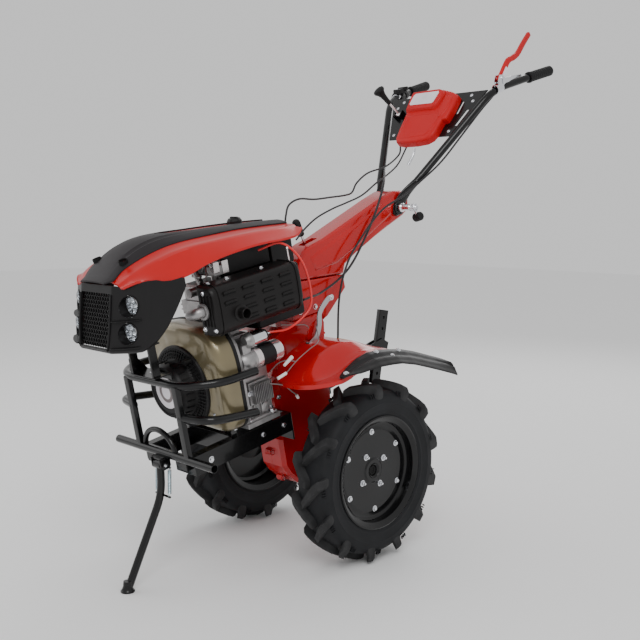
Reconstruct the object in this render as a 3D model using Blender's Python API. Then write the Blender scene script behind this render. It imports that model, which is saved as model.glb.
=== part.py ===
"""Two-wheel diesel power tiller, standing on its wheels and its front stand.

All sizes are in millimetres in the machine's own frame: x to the operator's left, y to the
rear, z up, with the origin at the middle of the wheel axle. The machine stands nose down on
its front stand, so one parent empty pitches the whole frame and lifts it to the ground.
"""

import math

import bmesh
import bpy
from mathutils import Matrix, Vector

MM = 0.001
PITCH = math.radians(11.83)
AXLE_HEIGHT = 270.0
REAR_SHIFT = -68.72

CRANK_Z = 365.0
WHEEL_MID = 264.0
SWIVEL = (0.0, 125.0, 542.0)
SWIVEL_UP = (0.0, 0.1275, 0.9918)
CLAMP = (0.0, 512.0, 686.0)
STAND = (0.0, -530.0, 178.0)
LEVER = (237.0, 881.0, 1049.0)

for old in list(bpy.data.objects):
    bpy.data.objects.remove(old)

SCENE = bpy.context.scene
BENCH = bpy.data.collections.new("bench")
SCENE.collection.children.link(BENCH)

ROOT = bpy.data.objects.new("tiller_root", None)
ROOT.rotation_euler = (PITCH, 0, 0)
ROOT.location = (0, REAR_SHIFT * MM, AXLE_HEIGHT * MM)
SCENE.collection.objects.link(ROOT)


# ---------------------------------------------------------------- materials

def paint(name, colour, metallic, roughness):
    slot = bpy.data.materials.new(name)
    slot.use_nodes = True
    shader = slot.node_tree.nodes["Principled BSDF"]
    shader.inputs["Base Color"].default_value = (*colour, 1)
    shader.inputs["Metallic"].default_value = metallic
    shader.inputs["Roughness"].default_value = roughness
    return slot


RED = paint("red_paint", (0.72, 0.02, 0.02), 0.1, 0.3)
RED_PLASTIC = paint("red_plastic", (0.8, 0.03, 0.03), 0.0, 0.35)
BLACK_PAINT = paint("black_paint", (0.012, 0.012, 0.013), 0.2, 0.35)
BLACK_PLASTIC = paint("black_plastic", (0.02, 0.02, 0.022), 0.0, 0.55)
RUBBER = paint("rubber", (0.018, 0.018, 0.02), 0.0, 0.8)
TYRE = paint("tyre_rubber", (0.022, 0.022, 0.024), 0.0, 0.85)
KHAKI = paint("khaki_paint", (0.32, 0.28, 0.16), 0.4, 0.35)
CAST = paint("cast_aluminium", (0.5, 0.5, 0.5), 0.9, 0.45)
STEEL = paint("steel", (0.55, 0.55, 0.56), 1.0, 0.35)
CHROME = paint("chrome", (0.8, 0.8, 0.82), 1.0, 0.12)
LENS = paint("lens", (0.75, 0.78, 0.8), 0.2, 0.1)
RED_CABLE = paint("red_cable", (0.75, 0.04, 0.04), 0.0, 0.4)


# ---------------------------------------------------------------- solids on the bench

def solid(points, faces):
    """A closed body from points in millimetres, with its faces turned outward."""
    mesh = bpy.data.meshes.new("bench")
    mesh.from_pydata([Vector(p) * MM for p in points], [], faces)
    work = bmesh.new()
    work.from_mesh(mesh)
    bmesh.ops.recalc_face_normals(work, faces=work.faces)
    if work.calc_volume(signed=True) < 0:
        bmesh.ops.reverse_faces(work, faces=work.faces)
    work.to_mesh(mesh)
    work.free()
    made = bpy.data.objects.new("bench", mesh)
    BENCH.objects.link(made)
    return made


def lift(a, b, c, axis):
    return {"x": (c, a, b), "y": (a, c, b), "z": (a, b, c)}[axis]


def stack(rings):
    """A body skinned over rings of equal length, capped at both ends."""
    size = len(rings[0])
    points = [p for ring in rings for p in ring]
    faces = [list(range(size)), [size * (len(rings) - 1) + i for i in range(size)]]
    for row in range(len(rings) - 1):
        for i in range(size):
            j = (i + 1) % size
            a = row * size
            faces.append([a + i, a + j, a + size + j, a + size + i])
    return solid(points, faces)


def prism(outline, low, high, axis="z"):
    return stack([[lift(a, b, c, axis) for a, b in outline] for c in (low, high)])


def block(x0, x1, y0, y1, z0, z1):
    return prism([(x0, y0), (x1, y0), (x1, y1), (x0, y1)], z0, z1)


def inset(outline, depth):
    """The outline moved inward by depth along the mean of each corner's two normals."""
    area = sum(a[0] * b[1] - b[0] * a[1] for a, b in zip(outline, outline[1:] + outline[:1]))
    turn = 1 if area > 0 else -1
    moved = []
    for i, here in enumerate(outline):
        p = Vector(here)
        d0 = (p - Vector(outline[i - 1])).normalized()
        d1 = (Vector(outline[(i + 1) % len(outline)]) - p).normalized()
        n0 = Vector((-d0.y, d0.x)) * turn
        n1 = Vector((-d1.y, d1.x)) * turn
        step = (n0 + n1) / max(0.35, 1 + n0.dot(n1))
        moved.append(tuple(p + step * depth))
    return moved


def pillow(outline, low, high, edge, axis="x"):
    """A prism whose two end faces are drawn in by edge."""
    small = inset(outline, edge)
    rows = [(small, low), (outline, low + edge), (outline, high - edge), (small, high)]
    return stack([[lift(a, b, c, axis) for a, b in line] for line, c in rows])


def basis(axis):
    forward = Vector(axis).normalized()
    side = forward.orthogonal().normalized()
    if abs(forward.z) < 0.9:
        side = Vector((0, 0, 1)).cross(forward).normalized()
    return side, forward.cross(side).normalized(), forward


def turned(profile, centre=(0, 0, 0), axis=(1, 0, 0), steps=24, ring=False, phase=0.0):
    """A body turned from (radius, travel) pairs. A ring's profile is a closed loop."""
    side, up, forward = basis(axis)
    points, rows = [], []
    for radius, travel in profile:
        base = Vector(centre) + forward * travel
        if radius < 1e-6:
            rows.append([len(points)] * steps)
            points.append(base)
            continue
        rows.append(list(range(len(points), len(points) + steps)))
        for i in range(steps):
            turn = 2 * math.pi * (i + phase) / steps
            points.append(base + side * radius * math.cos(turn) + up * radius * math.sin(turn))
    if ring:
        rows.append(rows[0])
    faces = []
    for a, b in zip(rows, rows[1:]):
        for i in range(steps):
            j = (i + 1) % steps
            corners = list(dict.fromkeys([a[i], a[j], b[j], b[i]]))
            if len(corners) > 2:
                faces.append(corners)
    if not ring:
        for row in (rows[0], rows[-1]):
            if row[0] != row[1]:
                faces.append(row)
    return solid(points, faces)


def rod(start, end, radius, end_radius=None, steps=12, phase=0.0):
    length = (Vector(end) - Vector(start)).length
    tip = radius if end_radius is None else end_radius
    way = Vector(end) - Vector(start)
    return turned([(radius, 0), (tip, length)], start, way, steps, phase=phase)


def rounded(points, bend, steps):
    """The polyline with each inner corner replaced by an arc of bend length."""
    path = [Vector(points[0])]
    bends = bend if isinstance(bend, (list, tuple)) else [bend] * len(points)
    for before, here, after, wide in zip(points, points[1:], points[2:], bends):
        here = Vector(here)
        back = Vector(before) - here
        ahead = Vector(after) - here
        if not wide:
            path.append(here)
            continue
        reach = min(wide, back.length * 0.48, ahead.length * 0.48)
        start = here + back.normalized() * reach
        end = here + ahead.normalized() * reach
        for k in range(steps + 1):
            t = k / steps
            path.append(start * (1 - t) ** 2 + here * 2 * t * (1 - t) + end * t * t)
    path.append(Vector(points[-1]))
    return path


def swept(path, section):
    """The section, a list of (side, up) pairs, carried along the path with capped ends."""
    rings = []
    normal = None
    for i, here in enumerate(path):
        here = Vector(here)
        before = Vector(path[max(i - 1, 0)])
        after = Vector(path[min(i + 1, len(path) - 1)])
        way = (after - before).normalized()
        if normal is None:
            normal = basis(way)[0]
        normal = (normal - way * normal.dot(way)).normalized()
        up = way.cross(normal)
        rings.append([here + normal * a + up * b for a, b in section])
    return stack(rings)


def tube(points, radius, bend=40, corner=3, steps=8):
    section = [
        (radius * math.cos(2 * math.pi * i / steps), radius * math.sin(2 * math.pi * i / steps))
        for i in range(steps)
    ]
    return swept(rounded(points, bend, corner), section)


def coil(start, end, radius, wire, turns, per_turn=8, sides=4):
    side, up, forward = basis(Vector(end) - Vector(start))
    length = (Vector(end) - Vector(start)).length
    count = turns * per_turn
    path = []
    for i in range(count + 1):
        turn = 2 * math.pi * i / per_turn
        base = Vector(start) + forward * length * i / count
        path.append(base + (side * math.cos(turn) + up * math.sin(turn)) * radius)
    section = [
        (wire * math.cos(2 * math.pi * i / sides), wire * math.sin(2 * math.pi * i / sides))
        for i in range(sides)
    ]
    return swept(path, section)


def gear(centre, teeth, module, width, bore, turn=0.0, steps=14):
    """A spur gear on an x axis, with thin flat-sided teeth that leave backlash."""
    pitch = module * teeth / 2
    outline = []
    for i in range(teeth):
        for share, radius in ((-0.27, pitch - 1.15 * module), (-0.1, pitch + 0.75 * module),
                              (0.1, pitch + 0.75 * module), (0.27, pitch - 1.15 * module)):
            angle = 2 * math.pi * (i + share) / teeth + turn
            outline.append((centre[1] + radius * math.cos(angle), centre[2] + radius * math.sin(angle)))
    blank = prism(outline, centre[0] - width / 2, centre[0] + width / 2, "x")
    low = (centre[0] - width, centre[1], centre[2])
    high = (centre[0] + width, centre[1], centre[2])
    return [blank], [rod(low, high, bore, steps=steps)]


# ---------------------------------------------------------------- finished pieces

def shade(mesh, limit=math.radians(38)):
    work = bmesh.new()
    work.from_mesh(mesh)
    for face in work.faces:
        face.smooth = True
    for edge in work.edges:
        edge.smooth = len(edge.link_faces) == 2 and edge.calc_face_angle(0) < limit
    work.to_mesh(mesh)
    work.free()


def boolean(base, others, operation):
    group = bpy.data.collections.new("operands")
    SCENE.collection.children.link(group)
    for other in others:
        BENCH.objects.unlink(other)
        group.objects.link(other)
    step = base.modifiers.new(operation.lower(), "BOOLEAN")
    step.operation = operation
    step.operand_type = "COLLECTION"
    step.collection = group
    step.solver = "EXACT"
    step.use_self = False
    bpy.context.view_layer.update()
    graph = bpy.context.evaluated_depsgraph_get()
    mesh = bpy.data.meshes.new_from_object(base.evaluated_get(graph))
    base.modifiers.clear()
    base.data = mesh
    for other in others:
        bpy.data.objects.remove(other)
    bpy.data.collections.remove(group)


def piece(name, material, origin, adds, cuts=()):
    """One named piece, made of the adds joined and the cuts taken out, turning on its origin."""
    base, *rest = adds
    if rest:
        boolean(base, rest, "UNION")
    if cuts:
        boolean(base, list(cuts), "DIFFERENCE")
    work = bmesh.new()
    work.from_mesh(base.data)
    bmesh.ops.remove_doubles(work, verts=work.verts, dist=0.02 * MM)
    bmesh.ops.dissolve_degenerate(work, edges=work.edges, dist=0.01 * MM)
    bmesh.ops.dissolve_limit(
        work, angle_limit=math.radians(0.05), verts=work.verts, edges=work.edges
    )
    bmesh.ops.triangulate(work, faces=work.faces)
    work.to_mesh(base.data)
    work.free()
    base.data.transform(Matrix.Translation(-Vector(origin) * MM))
    base.name = name
    base.data.name = name
    base.data.materials.clear()
    base.data.materials.append(material)
    base.location = Vector(origin) * MM
    base.parent = ROOT
    shade(base.data)
    BENCH.objects.unlink(base)
    SCENE.collection.objects.link(base)
    return base


def flip(points, side):
    return [(side * p[0], p[1], p[2]) for p in points]


SIDES = (("left", 1), ("right", -1))


def bolt_heads(places, radius=6.0, height=5.0):
    """Hexagon heads standing on (point, outward direction) places."""
    heads = []
    for point, out in places:
        way = Vector(out).normalized()
        low = Vector(point) - way * 1.5
        heads.append(rod(low, Vector(point) + way * height, radius, steps=6))
    return heads


# ---------------------------------------------------------------- chassis and front guard

def build_chassis():
    adds = []
    for s in (1, -1):
        adds.append(block(*sorted((s * 112, s * 116)), -496, -136, 150, 205))
        adds.append(block(*sorted((s * 86, s * 114)), -496, -136, 201, 205))
        adds.append(block(*sorted((s * 86, s * 114)), -496, -136, 150, 154))
        adds.append(block(*sorted((s * 88, s * 115)), -340, -210, 203, 225.7))
    adds.append(block(-114, 114, -496, -492, 150, 205))
    adds.append(block(-114, 114, -346, -340, 150, 205))
    adds.append(block(-114, 114, -140, -134, 120, 205))
    adds += bolt_heads([((116, y, 178), (1, 0, 0)) for y in (-250, -170)])
    piece("chassis_frame", BLACK_PAINT, (0, -300, 180), adds, [block(-24, 24, -500, -488, 140, 193)])


def build_guard():
    adds = [
        rod((-228, -512, 203), (228, -512, 203), 11.5),
        tube([(-200, -304, 400), (-207, -430, 408), (-134, -508, 413), (134, -508, 413),
              (207, -430, 408), (200, -304, 400)], 11.5, bend=70),
        tube([(-24 - 72 * math.cos(math.pi * i / 8), -505, 203 + 62 * math.sin(math.pi * i / 8))
              for i in range(9)], 8, bend=0, steps=6),
        block(-24, 24, -540, -509, 193.8, 200),
        turned([(0, -26), (9, -26), (9, -20), (6, -20), (6, 20), (9, 20), (9, 26), (0, 26)], STAND,
               (1, 0, 0), 12),
    ]
    for s in (1, -1):
        adds.append(block(*sorted((s * 103, s * 125)), -518, -502, 203, 412))
        adds.append(tube(flip([(113, -508, 324), (212, -486, 322), (200, -324, 288)], s),
                         11.5, bend=75))
        adds.append(block(*sorted((s * 60, s * 95)), -510, -496.4, 165, 204))
        adds.append(block(*sorted((s * 17.5, s * 22)), -544, -510, 164, 196))
        adds.append(rod((s * 20, -522, 169), (s * 33, -522, 169), 3.2, steps=8))
    adds += [block(-74, 40, -522, -474, 424, 428), block(-70, -62, -520, -490, 426, 546),
             block(28, 36, -520, -490, 426, 546)]
    adds += bolt_heads([((-17, -486, 428), (0, 0, 1))])
    cuts = [
        rod((203, -512, 203), (230, -512, 203), 9),
        rod((-230, -512, 203), (-203, -512, 203), 9),
    ]
    piece("front_guard", BLACK_PAINT, (0, -512, 203), adds, cuts)

    up = Vector((0, math.sin(PITCH), math.cos(PITCH)))
    foot = Vector((0, -706, 0))
    foot.z = (-AXLE_HEIGHT - foot.y * up.y) / up.z
    adds = [
        rod((-15, *STAND[1:]), (15, *STAND[1:]), 15),
        tube([STAND, (0, -544, 92), tuple(foot + up * 9 + Vector((0, 3, 0)))], 11, bend=50),
        turned([(0, 0), (19, 0), (19, 3), (11, 15), (0, 15)], foot, up, 16),
        rod((-33, -540, 88), (33, -540, 88), 3.2, steps=8),
    ]
    piece("stand_leg", BLACK_PAINT, STAND, adds, [rod((-20, *STAND[1:]), (20, *STAND[1:]), 6.6)])
    for word, s in SIDES:
        spring = coil((s * 29.5, -522.5, 165), (s * 29.5, -538, 93.5), 4.6, 1.1, 9, 6)
        piece(f"stand_spring_{word}", STEEL, (s * 29.5, -522, 169), [spring])


# ---------------------------------------------------------------- engine

SHROUD = [(-140, 240), (140, 240), (166, 252), (176, 275), (176, 432), (166, 480), (138, 517),
          (96, 534), (-40, 540), (-110, 528), (-152, 490), (-174, 430), (-176, 275), (-166, 252)]


def build_engine():
    level = CRANK_Z
    adds = [
        block(-125, 125, -332, -206, 232, 455),
        prism(inset(SHROUD, 2), -334.7, -324, "y"),
        block(-150, 150, -322, -204, 226, 240),
    ]
    adds += bolt_heads([((125, -225, 262), (1, 0, 0))], 6, 4)
    adds += bolt_heads([((x, y, 240), (0, 0, 1)) for x in (138, -138) for y in (-305, -222)], 7, 6)
    adds.append(block(-52, 52, -320, -224, 450, 545))
    adds += [block(-66, 66, -323.4, -210, z, z + 4) for z in (466, 482, 498, 514, 530)]
    cuts = [
        rod((0, -320, level), (0, -216, level), 92, steps=16),
        rod((0, -345, level), (0, -195, level), 18, steps=12),
        rod((0, -272, 440), (0, -272, 550), 36, steps=14),
    ]
    piece("crankcase", CAST, (0, -270, level), adds, cuts)

    crank = [
        rod((0, -442, level), (0, -288, level), 17, steps=10),
        rod((0, -252, level), (0, -150, level), 17, steps=10),
        rod((0, -300, level - 14), (0, -284, level - 14), 58, steps=14),
        rod((0, -256, level - 14), (0, -240, level - 14), 58, steps=14),
        rod((0, -290, level + 30), (0, -250, level + 30), 18, steps=10),
        turned([(0, -192), (66, -192), (70, -188), (60, -164), (0, -164)], (0, 0, level), (0, 1, 0), 18),
    ]
    piece("crankshaft", STEEL, (0, -300, level), crank)
    wheel = turned([(18, -396), (40, -396), (48, -384), (104, -384), (104, -352), (18, -352)],
                   (0, 0, level), (0, 1, 0), 18, ring=True)
    piece("flywheel_fan", CAST, (0, -370, level), [wheel])

    rings = [[(x, y, z) for x, z in inset(SHROUD, d)] for y,
             d in ((-335.1, 0), (-384, 0), (-397, 5), (-403, 16))]
    core = [[(x, y, z) for x, z in inset(SHROUD, d)] for y,
            d in ((-330, 4), (-383, 4), (-394, 8), (-399, 18))]
    adds = [stack(rings)]
    adds += bolt_heads([((118, -403, 292), (0, -1, 0)), ((150, -384, 462), (0.7, -1, 0.6)),
                        ((-118, -403, 292), (0, -1, 0))], 6, 5)
    cuts = [stack(core), rod((0, -420, level), (0, -390, level), 113.6, steps=24)]
    piece("fan_shroud", KHAKI, (0, -375, level), adds, cuts)
    face = [(0, -469), (66, -469), (75, -463), (79, -424), (97, -417), (117.5, -413.5), (117.5, -403.4),
            (112.6, -403.4), (112.6, -410), (75, -420), (68, -465), (0, -465)]
    adds = [turned(face, (0, 0, level), (0, 1, 0), 24)]
    piece("recoil_housing", BLACK_PLASTIC, (0, -420, level), adds)
    cover = [(-46, -318), (46, -318), (54, -308), (54, -232), (46, -222), (-46, -222), (-54, -232),
             (-54, -308)]
    adds = [block(-60, 60, -323.4, -212, 545.4, 585), block(-66, 66, -323.4, -208, 556, 560),
            block(-66, 66, -323.4, -208, 570, 574), pillow(cover, 580, 630, 6, "z"),
            rod((36, -306, 610), (36, -330, 676), 9, steps=10),
            rod((20, -326, 660), (56, -326, 660), 5, steps=6)]
    piece("cylinder_head", CAST, (0, -272, 565), adds)

    adds = [tube([(82, -300, 566), (98, -352, 566), (108, -426, 580), (160, -432, 592), (160, -409, 592)],
                 14, bend=26, corner=3), rod((160, -414, 592), (160, -405.6, 592), 22),
            block(66.4, 90, -318, -284, 550, 584)]
    piece("exhaust_manifold", CAST, (110, -380, 575), adds)

    box = [(132, 522), (176, 522), (193, 527), (201, 540), (202, 628), (196, 646), (182, 656), (132, 658)]
    adds = [stack([[(x, y, z) for x, z in inset(box, d)]
                   for y, d in ((-405, 8), (-399, 2), (-392, 0), (-104, 0), (-96, 3), (-92, 9))])]
    adds.append(turned([(0, 190), (21, 190), (21, 206), (15.5, 206), (15.5, 227), (0, 227)],
                       (0, -322, 568),
                       (1, 0, 0), 18))
    adds.append(block(118, 136, -300, -292, 560, 620))
    adds += bolt_heads([((150, -404, 543), (0, -1, 0)), ((186, -404, 545), (0, -1, 0)),
                        ((150, -380, 657), (0, 0, 1)), ((150, -190, 657), (0, 0, 1))], 4.5, 4)
    piece("muffler", BLACK_PAINT, (165, -250, 590), adds,
          [rod((204, -322, 568), (230, -322, 568), 12.5, steps=16)])

    motor = turned([(0, -323.4), (20, -323.4), (27, -312), (27, -286), (30, -284), (30, -222), (27, -220),
                    (27, -182), (18, -174), (0, -174)], (158, 0, 421), (0, 1, 0), 20)
    adds = [motor, block(125.4, 150, -323.4, -311, 398, 444),
            rod((158, -180, 421), (158, -166, 421), 5, steps=8),
            block(150, 172, -300, -240, 440, 470)]
    switch = turned([(0, -302), (12, -302), (21, -292), (21, -232), (16, -226), (0, -226)],
                    (165, 0, 476), (0, 1, 0), 18)
    adds += [switch, rod((158, -228, 480), (158, -214, 480), 4, steps=8),
             rod((172, -228, 480), (172, -214, 480), 4, steps=8)]
    piece("starter_motor", CHROME, (158, -250, 421), adds)

    adds = [block(125.4, 136, -286, -220, 284, 346)]
    adds += [block(134, 153, -282 + 8.6 * i, -278.5 + 8.6 * i, 288, 342) for i in range(7)]
    piece("voltage_regulator", CAST, (138, -250, 315), adds)

    filter_outline = [(-46, -204), (110, -204), (118, -196), (118, -24), (-46, -24)]
    adds = [pillow(filter_outline, 478, 634, 5, "z"), block(60, 100, -214, -200, 575, 605)]
    piece("air_filter", BLACK_PLASTIC, (36, -110, 550), adds, [block(50, 110, -220, -206.5, 570, 610)])
    case = [(-118, -112), (112, -112), (112, -30), (-118, -30)]
    adds = [pillow(case, 634.6, 728, 4, "z"), rod((90, -95, 726), (90, -95, 738), 6, steps=8),
            rod((-90, -95, 726), (-90, -95, 738), 6, steps=8)]
    piece("battery", BLACK_PLASTIC, (0, -70, 680), adds)
    tank = [(-138, -292), (104, -292), (110, -286), (110, -120), (104, -114), (-138, -114), (-144, -120),
            (-144, -286)]
    adds = [pillow(tank, 650, 738, 8, "z"), rod((0, -136, 730), (0, -136, 762), 17, steps=18)]
    cuts = [rod((0, -136, 690), (0, -136, 764), 14, steps=16),
            pillow([(-132, -284), (98, -284), (98, -122), (-132, -122)], 656, 732, 6, "z")]
    piece("fuel_tank", BLACK_PLASTIC, (0, -200, 694), adds, cuts)
    cap = turned([(0, 762.4), (21, 762.4), (22, 766), (22, 776), (17, 783), (0, 783)], (0, -136, 0),
                 (0, 0, 1), 18)
    adds = [cap, block(-15, 15, -139, -133, 780, 787),
            rod((0, -136, 755), (0, -136, 763), 13.2, steps=16)]
    piece("fuel_cap", BLACK_PLASTIC, (0, -136, 762), adds)


# ---------------------------------------------------------------- hood and lamps

HOOD = (
    # y, crown z, band-edge half width, band-edge z, shoulder z, side half width, side z
    (-602, 722, 74, 713, 708, 112, 700),
    (-575, 748, 80, 735, 727, 152, 713),
    (-535, 772, 86, 750, 742, 163, 706),
    (-490, 788, 90, 761, 752, 168, 698),
    (-440, 794, 90, 768, 759, 170, 700),
    (-380, 791, 88, 770, 761, 170, 713),
    (-300, 783, 86, 767, 758, 170, 721),
    (-200, 773, 84, 762, 753, 170, 723),
    (-100, 762, 82, 752, 745, 168, 716),
    (-45, 755, 80, 745, 740, 160, 716),
    (-4, 749, 78, 740, 737, 138, 728),
)


def hood_ring(row, drop, limit=1.0):
    y, crown, band, band_z, shoulder_z, side, side_z = row
    half = [(0, crown), (band * 0.62, crown * 0.72 + band_z * 0.28), (band, band_z),
            (band + (side - band) * 0.5, shoulder_z - 1), (side - 6, (shoulder_z + side_z) / 2 + 6),
            (side, side_z)]
    return [(x, y, z - drop) for x, z in half]


def hood_skin(rows, thick):
    """The pressed cover as a body: the top skin, its rim and the skin below it."""
    rings = []
    for row in rows:
        top = hood_ring(row, 0)
        low = [(x * 0.985, y, z - thick) for x, y, z in top]
        full = [(-x, y, z) for x, y, z in top[:0:-1]] + top
        under = low[::-1] + [(-x, y, z) for x, y, z in low[1:]]
        rings.append(full + under)
    return stack(rings)


def build_hood():
    adds = [hood_skin(HOOD, 3.5)]
    cuts = [rod((0, -136, 700), (0, -136, 800), 24, steps=20)]
    piece("hood_cover", RED_PLASTIC, (0, -300, 745), adds, cuts)

    rows = [(-622, 716, 60, 712), (-600, 726, 74, 717)] + [row[:4] for row in HOOD if row[0] > -590]
    rings = []
    for y, crown, band, band_z in rows:
        half = [(0, crown + 0.5), (band * 0.62, crown * 0.72 + band_z * 0.28 + 0.5),
                (band - 3, band_z + 1.2)]
        top = [(x, y, z + 3.6) for x, z in half]
        low = [(x, y, z + 1.4) for x, z in half]
        rings.append([(-x, yy, z) for x, yy, z in top[:0:-1]] + top + low[::-1]
                     + [(-x, yy, z) for x, yy, z in low[1:]])
    cuts = [rod((0, -136, 700), (0, -136, 800), 24, steps=20),
            prism([(0, -408), (26, -372), (34, -300), (34, 20), (-34, 20), (-34, -300), (-26, -372)], 700,
                  820)]
    piece("hood_band", BLACK_PLASTIC, (0, -300, 770), [stack(rings)], cuts)

    nose = [(-659, 540), (-640, 600), (-622, 655), (-609, 692), (-560, 699), (-470, 685), (-453, 672),
            (-490, 631), (-542, 575), (-587, 548)]

    def wedge(x, front, edge):
        """The slanted lamp face: everything ahead of it, leaning back with height."""
        rings = []
        for z in (480, 760):
            lean = (z - 600) * 0.27
            rings.append([(x * a, y + lean, z) for a, y in
                          ((74, -800), (240, -800), (240, edge), (173, edge), (74, front))])
        return stack(rings)

    shell = prism(nose, -171, 171, "x")
    inner = prism(inset(nose, 4), -167, 167, "x")
    boolean(inner, [wedge(s, -635.5, -590.5) for s in (1, -1)], "DIFFERENCE")
    cuts = [wedge(s, -640, -595) for s in (1, -1)]
    cuts += [inner, block(-160, 160, -600, -470, 670, 720), block(-70, 70, -720, -590, 556, 684)]
    for s in (1, -1):
        for z, y in ((656, -600), (590, -618)):
            cuts.append(rod((s * 122, y - 90, z), (s * 122, y + 40, z), 27.4, steps=18))
    piece("lamp_housing", BLACK_PLASTIC, (0, -580, 620), [shell], cuts)

    for word, s in SIDES:
        adds = []
        for z, y in ((656, -600), (590, -618)):
            adds.append(turned([(0, 0), (20, 0), (26, -7), (26, 26), (0, 26)], (s * 122, y + 4, z),
                               (0, 1, 0), 14))
        adds.append(block(*sorted((s * 112, s * 132)), -596, -590, 588, 655))
        piece(f"headlamp_{word}", LENS, (s * 122, -600, 623), adds)

    line = [(-650, 551), (-634, 602), (-616, 656), (-607, 681)]
    adds = [prism(line + [(y + 3, z) for y, z in line[::-1]], -69.5, 69.5, "x")]
    piece("grille", BLACK_PLASTIC, (0, -630, 620), adds)


# ---------------------------------------------------------------- drive train

def build_gearbox():
    wall = [(-133.6, 206), (-133.6, 118), (-143, 108), (-143, 18), (-126, -16), (-96, -52), (-50, -86),
            (0, -94), (48, -82), (82, -44), (94, 10), (92, 150), (98, 320), (112, 408), (104, 440),
            (-70, 440), (-118, 420), (-127, 400), (-127, 262), (-133.6, 250)]
    for word, s in SIDES:
        adds = [stack([[(s * x, y, z) for y, z in inset(wall, d)] for x,
                       d in ((0.15, 0), (44, 0), (56, 10))])]
        ears = [rod((s * 0.15, y, z), (s * 12, y, z), 11, steps=8)
                for y, z in ((-146, 62), (-118, -34), (20, -97), (98, 90), (99, 250))]
        adds += ears
        adds.append(rod((s * 50, 0, 0), (s * 118, 0, 0), 33, steps=16))
        adds.append(rod((s * 112, 0, 0), (s * 118, 0, 0), 42, steps=16))
        adds += bolt_heads([((s * 12, y, z), (s, 0, 0)) for y, z in ((-146, 62), (-118, -34))], 6, 5)
        inner = stack([[(s * x, y, z) for y, z in inset(wall, d)] for x,
                       d in ((-2, 8), (42, 8), (49, 15))])
        cuts = [inner, rod((s * -3, 0, 0), (s * 125, 0, 0), 15.8, steps=14),
                rod((0, -140, CRANK_Z), (0, -100, CRANK_Z), 16, steps=16)]
        piece(f"gearbox_half_{word}", RED, (s * 28, 0, 180), adds, cuts)

    bell = turned([(100, -203.7), (100, -196), (92, -190), (84, -140), (92, -136), (92, -127.4),
                   (70, -127.4),
                   (70, -140), (80, -186), (80, -203.7)], (0, 0, CRANK_Z), (0, 1, 0), 18, ring=True)
    piece("clutch_housing", RED, (0, -165, CRANK_Z), [bell])
    small, wheel = 14, 30
    reach = 5 * (small + wheel) / 2 + 0.9
    lean = math.radians(100)
    hub = (0, reach * math.cos(lean), reach * math.sin(lean))
    adds, cuts = gear((0, 0, 0), wheel, 5, 26, 15.8, turn=lean)
    piece("axle_gear", STEEL, (0, 0, 0), adds, cuts)
    half = math.pi / small
    adds, spare = gear(hub, small, 5, 30, 5, turn=lean + math.pi + half)
    bpy.data.objects.remove(spare[0])
    adds += [rod((-42, *hub[1:]), (42, *hub[1:]), 12, steps=10),
             rod((20, *hub[1:]), (34, *hub[1:]), 60, steps=16)]
    piece("final_pinion", STEEL, hub, adds)


def build_axle():
    piece("axle_shaft", STEEL, (0, 0, 0), [rod((-279, 0, 0), (279, 0, 0), 15, steps=14)])
    for word, s in SIDES:
        loop = [(15.6, 124), (24, 124), (24, 260), (70, 272), (70, 280.6), (15.6, 280.6)]
        hub = turned([(r, s * x) for r, x in loop], (0, 0, 0), (1, 0, 0), 14, ring=True)
        turns = [math.radians(126.4 + 90 * i) for i in range(4)]
        studs = [(54 * math.cos(a), 54 * math.sin(a)) for a in turns]
        nuts = [turned([(0, 0), (4.2, 0), (4.2, 4.2), (7, 4.2), (7, 11), (0, 11)], (s * 280.2, y, z),
                       (s, 0, 0), 6)
                for y, z in studs]
        piece(f"wheel_hub_{word}", BLACK_PAINT, (s * 200, 0, 0), [hub] + nuts)

        loop = [(17, 284), (17, 281), (150, 281), (150, 214), (165, 208), (168, 208), (168, 212),
                (153, 216), (153, 311), (168, 315), (168, 319), (164, 319), (150, 314), (150, 284)]
        rim = turned([(r, s * x) for r, x in loop], (0, 0, 0), (1, 0, 0), 24, ring=True)
        outer_turns = [math.radians(96 + 60 * i) for i in range(6)]
        heads = bolt_heads([((s * 284, 118 * math.cos(a), 118 * math.sin(a)), (s, 0, 0))
                            for a in outer_turns], 7, 6)
        holes = [rod((s * 278, 54 * math.cos(a), 54 * math.sin(a)),
                     (s * 284.3, 54 * math.cos(a), 54 * math.sin(a)),
                     4.8, steps=6) for a in turns]
        piece(f"wheel_rim_{word}", BLACK_PAINT, (s * WHEEL_MID, 0, 0), [rim] + heads, holes)

        outside = [(153.5, 217), (168.6, 213.5), (190, 206), (226, 205), (250, 217), (259, 242),
                   (259, 286),
                   (250, 311), (226, 323), (190, 322), (168.6, 314.4), (153.5, 310.4)]
        inside = [(153.5, 299), (222, 311), (245, 288), (245, 240), (222, 217), (153.5, 229)]
        carcass = turned([(r, s * x) for r, x in outside + inside], (0, 0, 0), (1, 0, 0), 24, ring=True)
        lugs = []
        count = 13
        lean = math.radians(15)
        for k in range(2 * count):
            out = 1 if k % 2 else -1
            edge = WHEEL_MID + 57 * out
            rings = []
            for share, x, radius in ((0, WHEEL_MID - 5 * out, 270), (0.7, WHEEL_MID + 36 * out, 268.5),
                                     (1.1, edge + 1.5 * out, 240)):
                mid = math.pi * k / count - lean * share
                rings.append([(s * x, r * math.cos(mid + w / r), r * math.sin(mid + w / r))
                              for r, w in ((radius, -9), (radius, 9), (radius - 22, 11),
                                           (radius - 22, -11))])
            lugs.append(stack(rings))
        cut = turned([(r, s * x) for r, x in inside], (0, 0, 0), (1, 0, 0), 24, ring=True)
        piece(f"tyre_{word}", TYRE, (s * WHEEL_MID, 0, 0), [carcass] + lugs, [cut])


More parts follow.
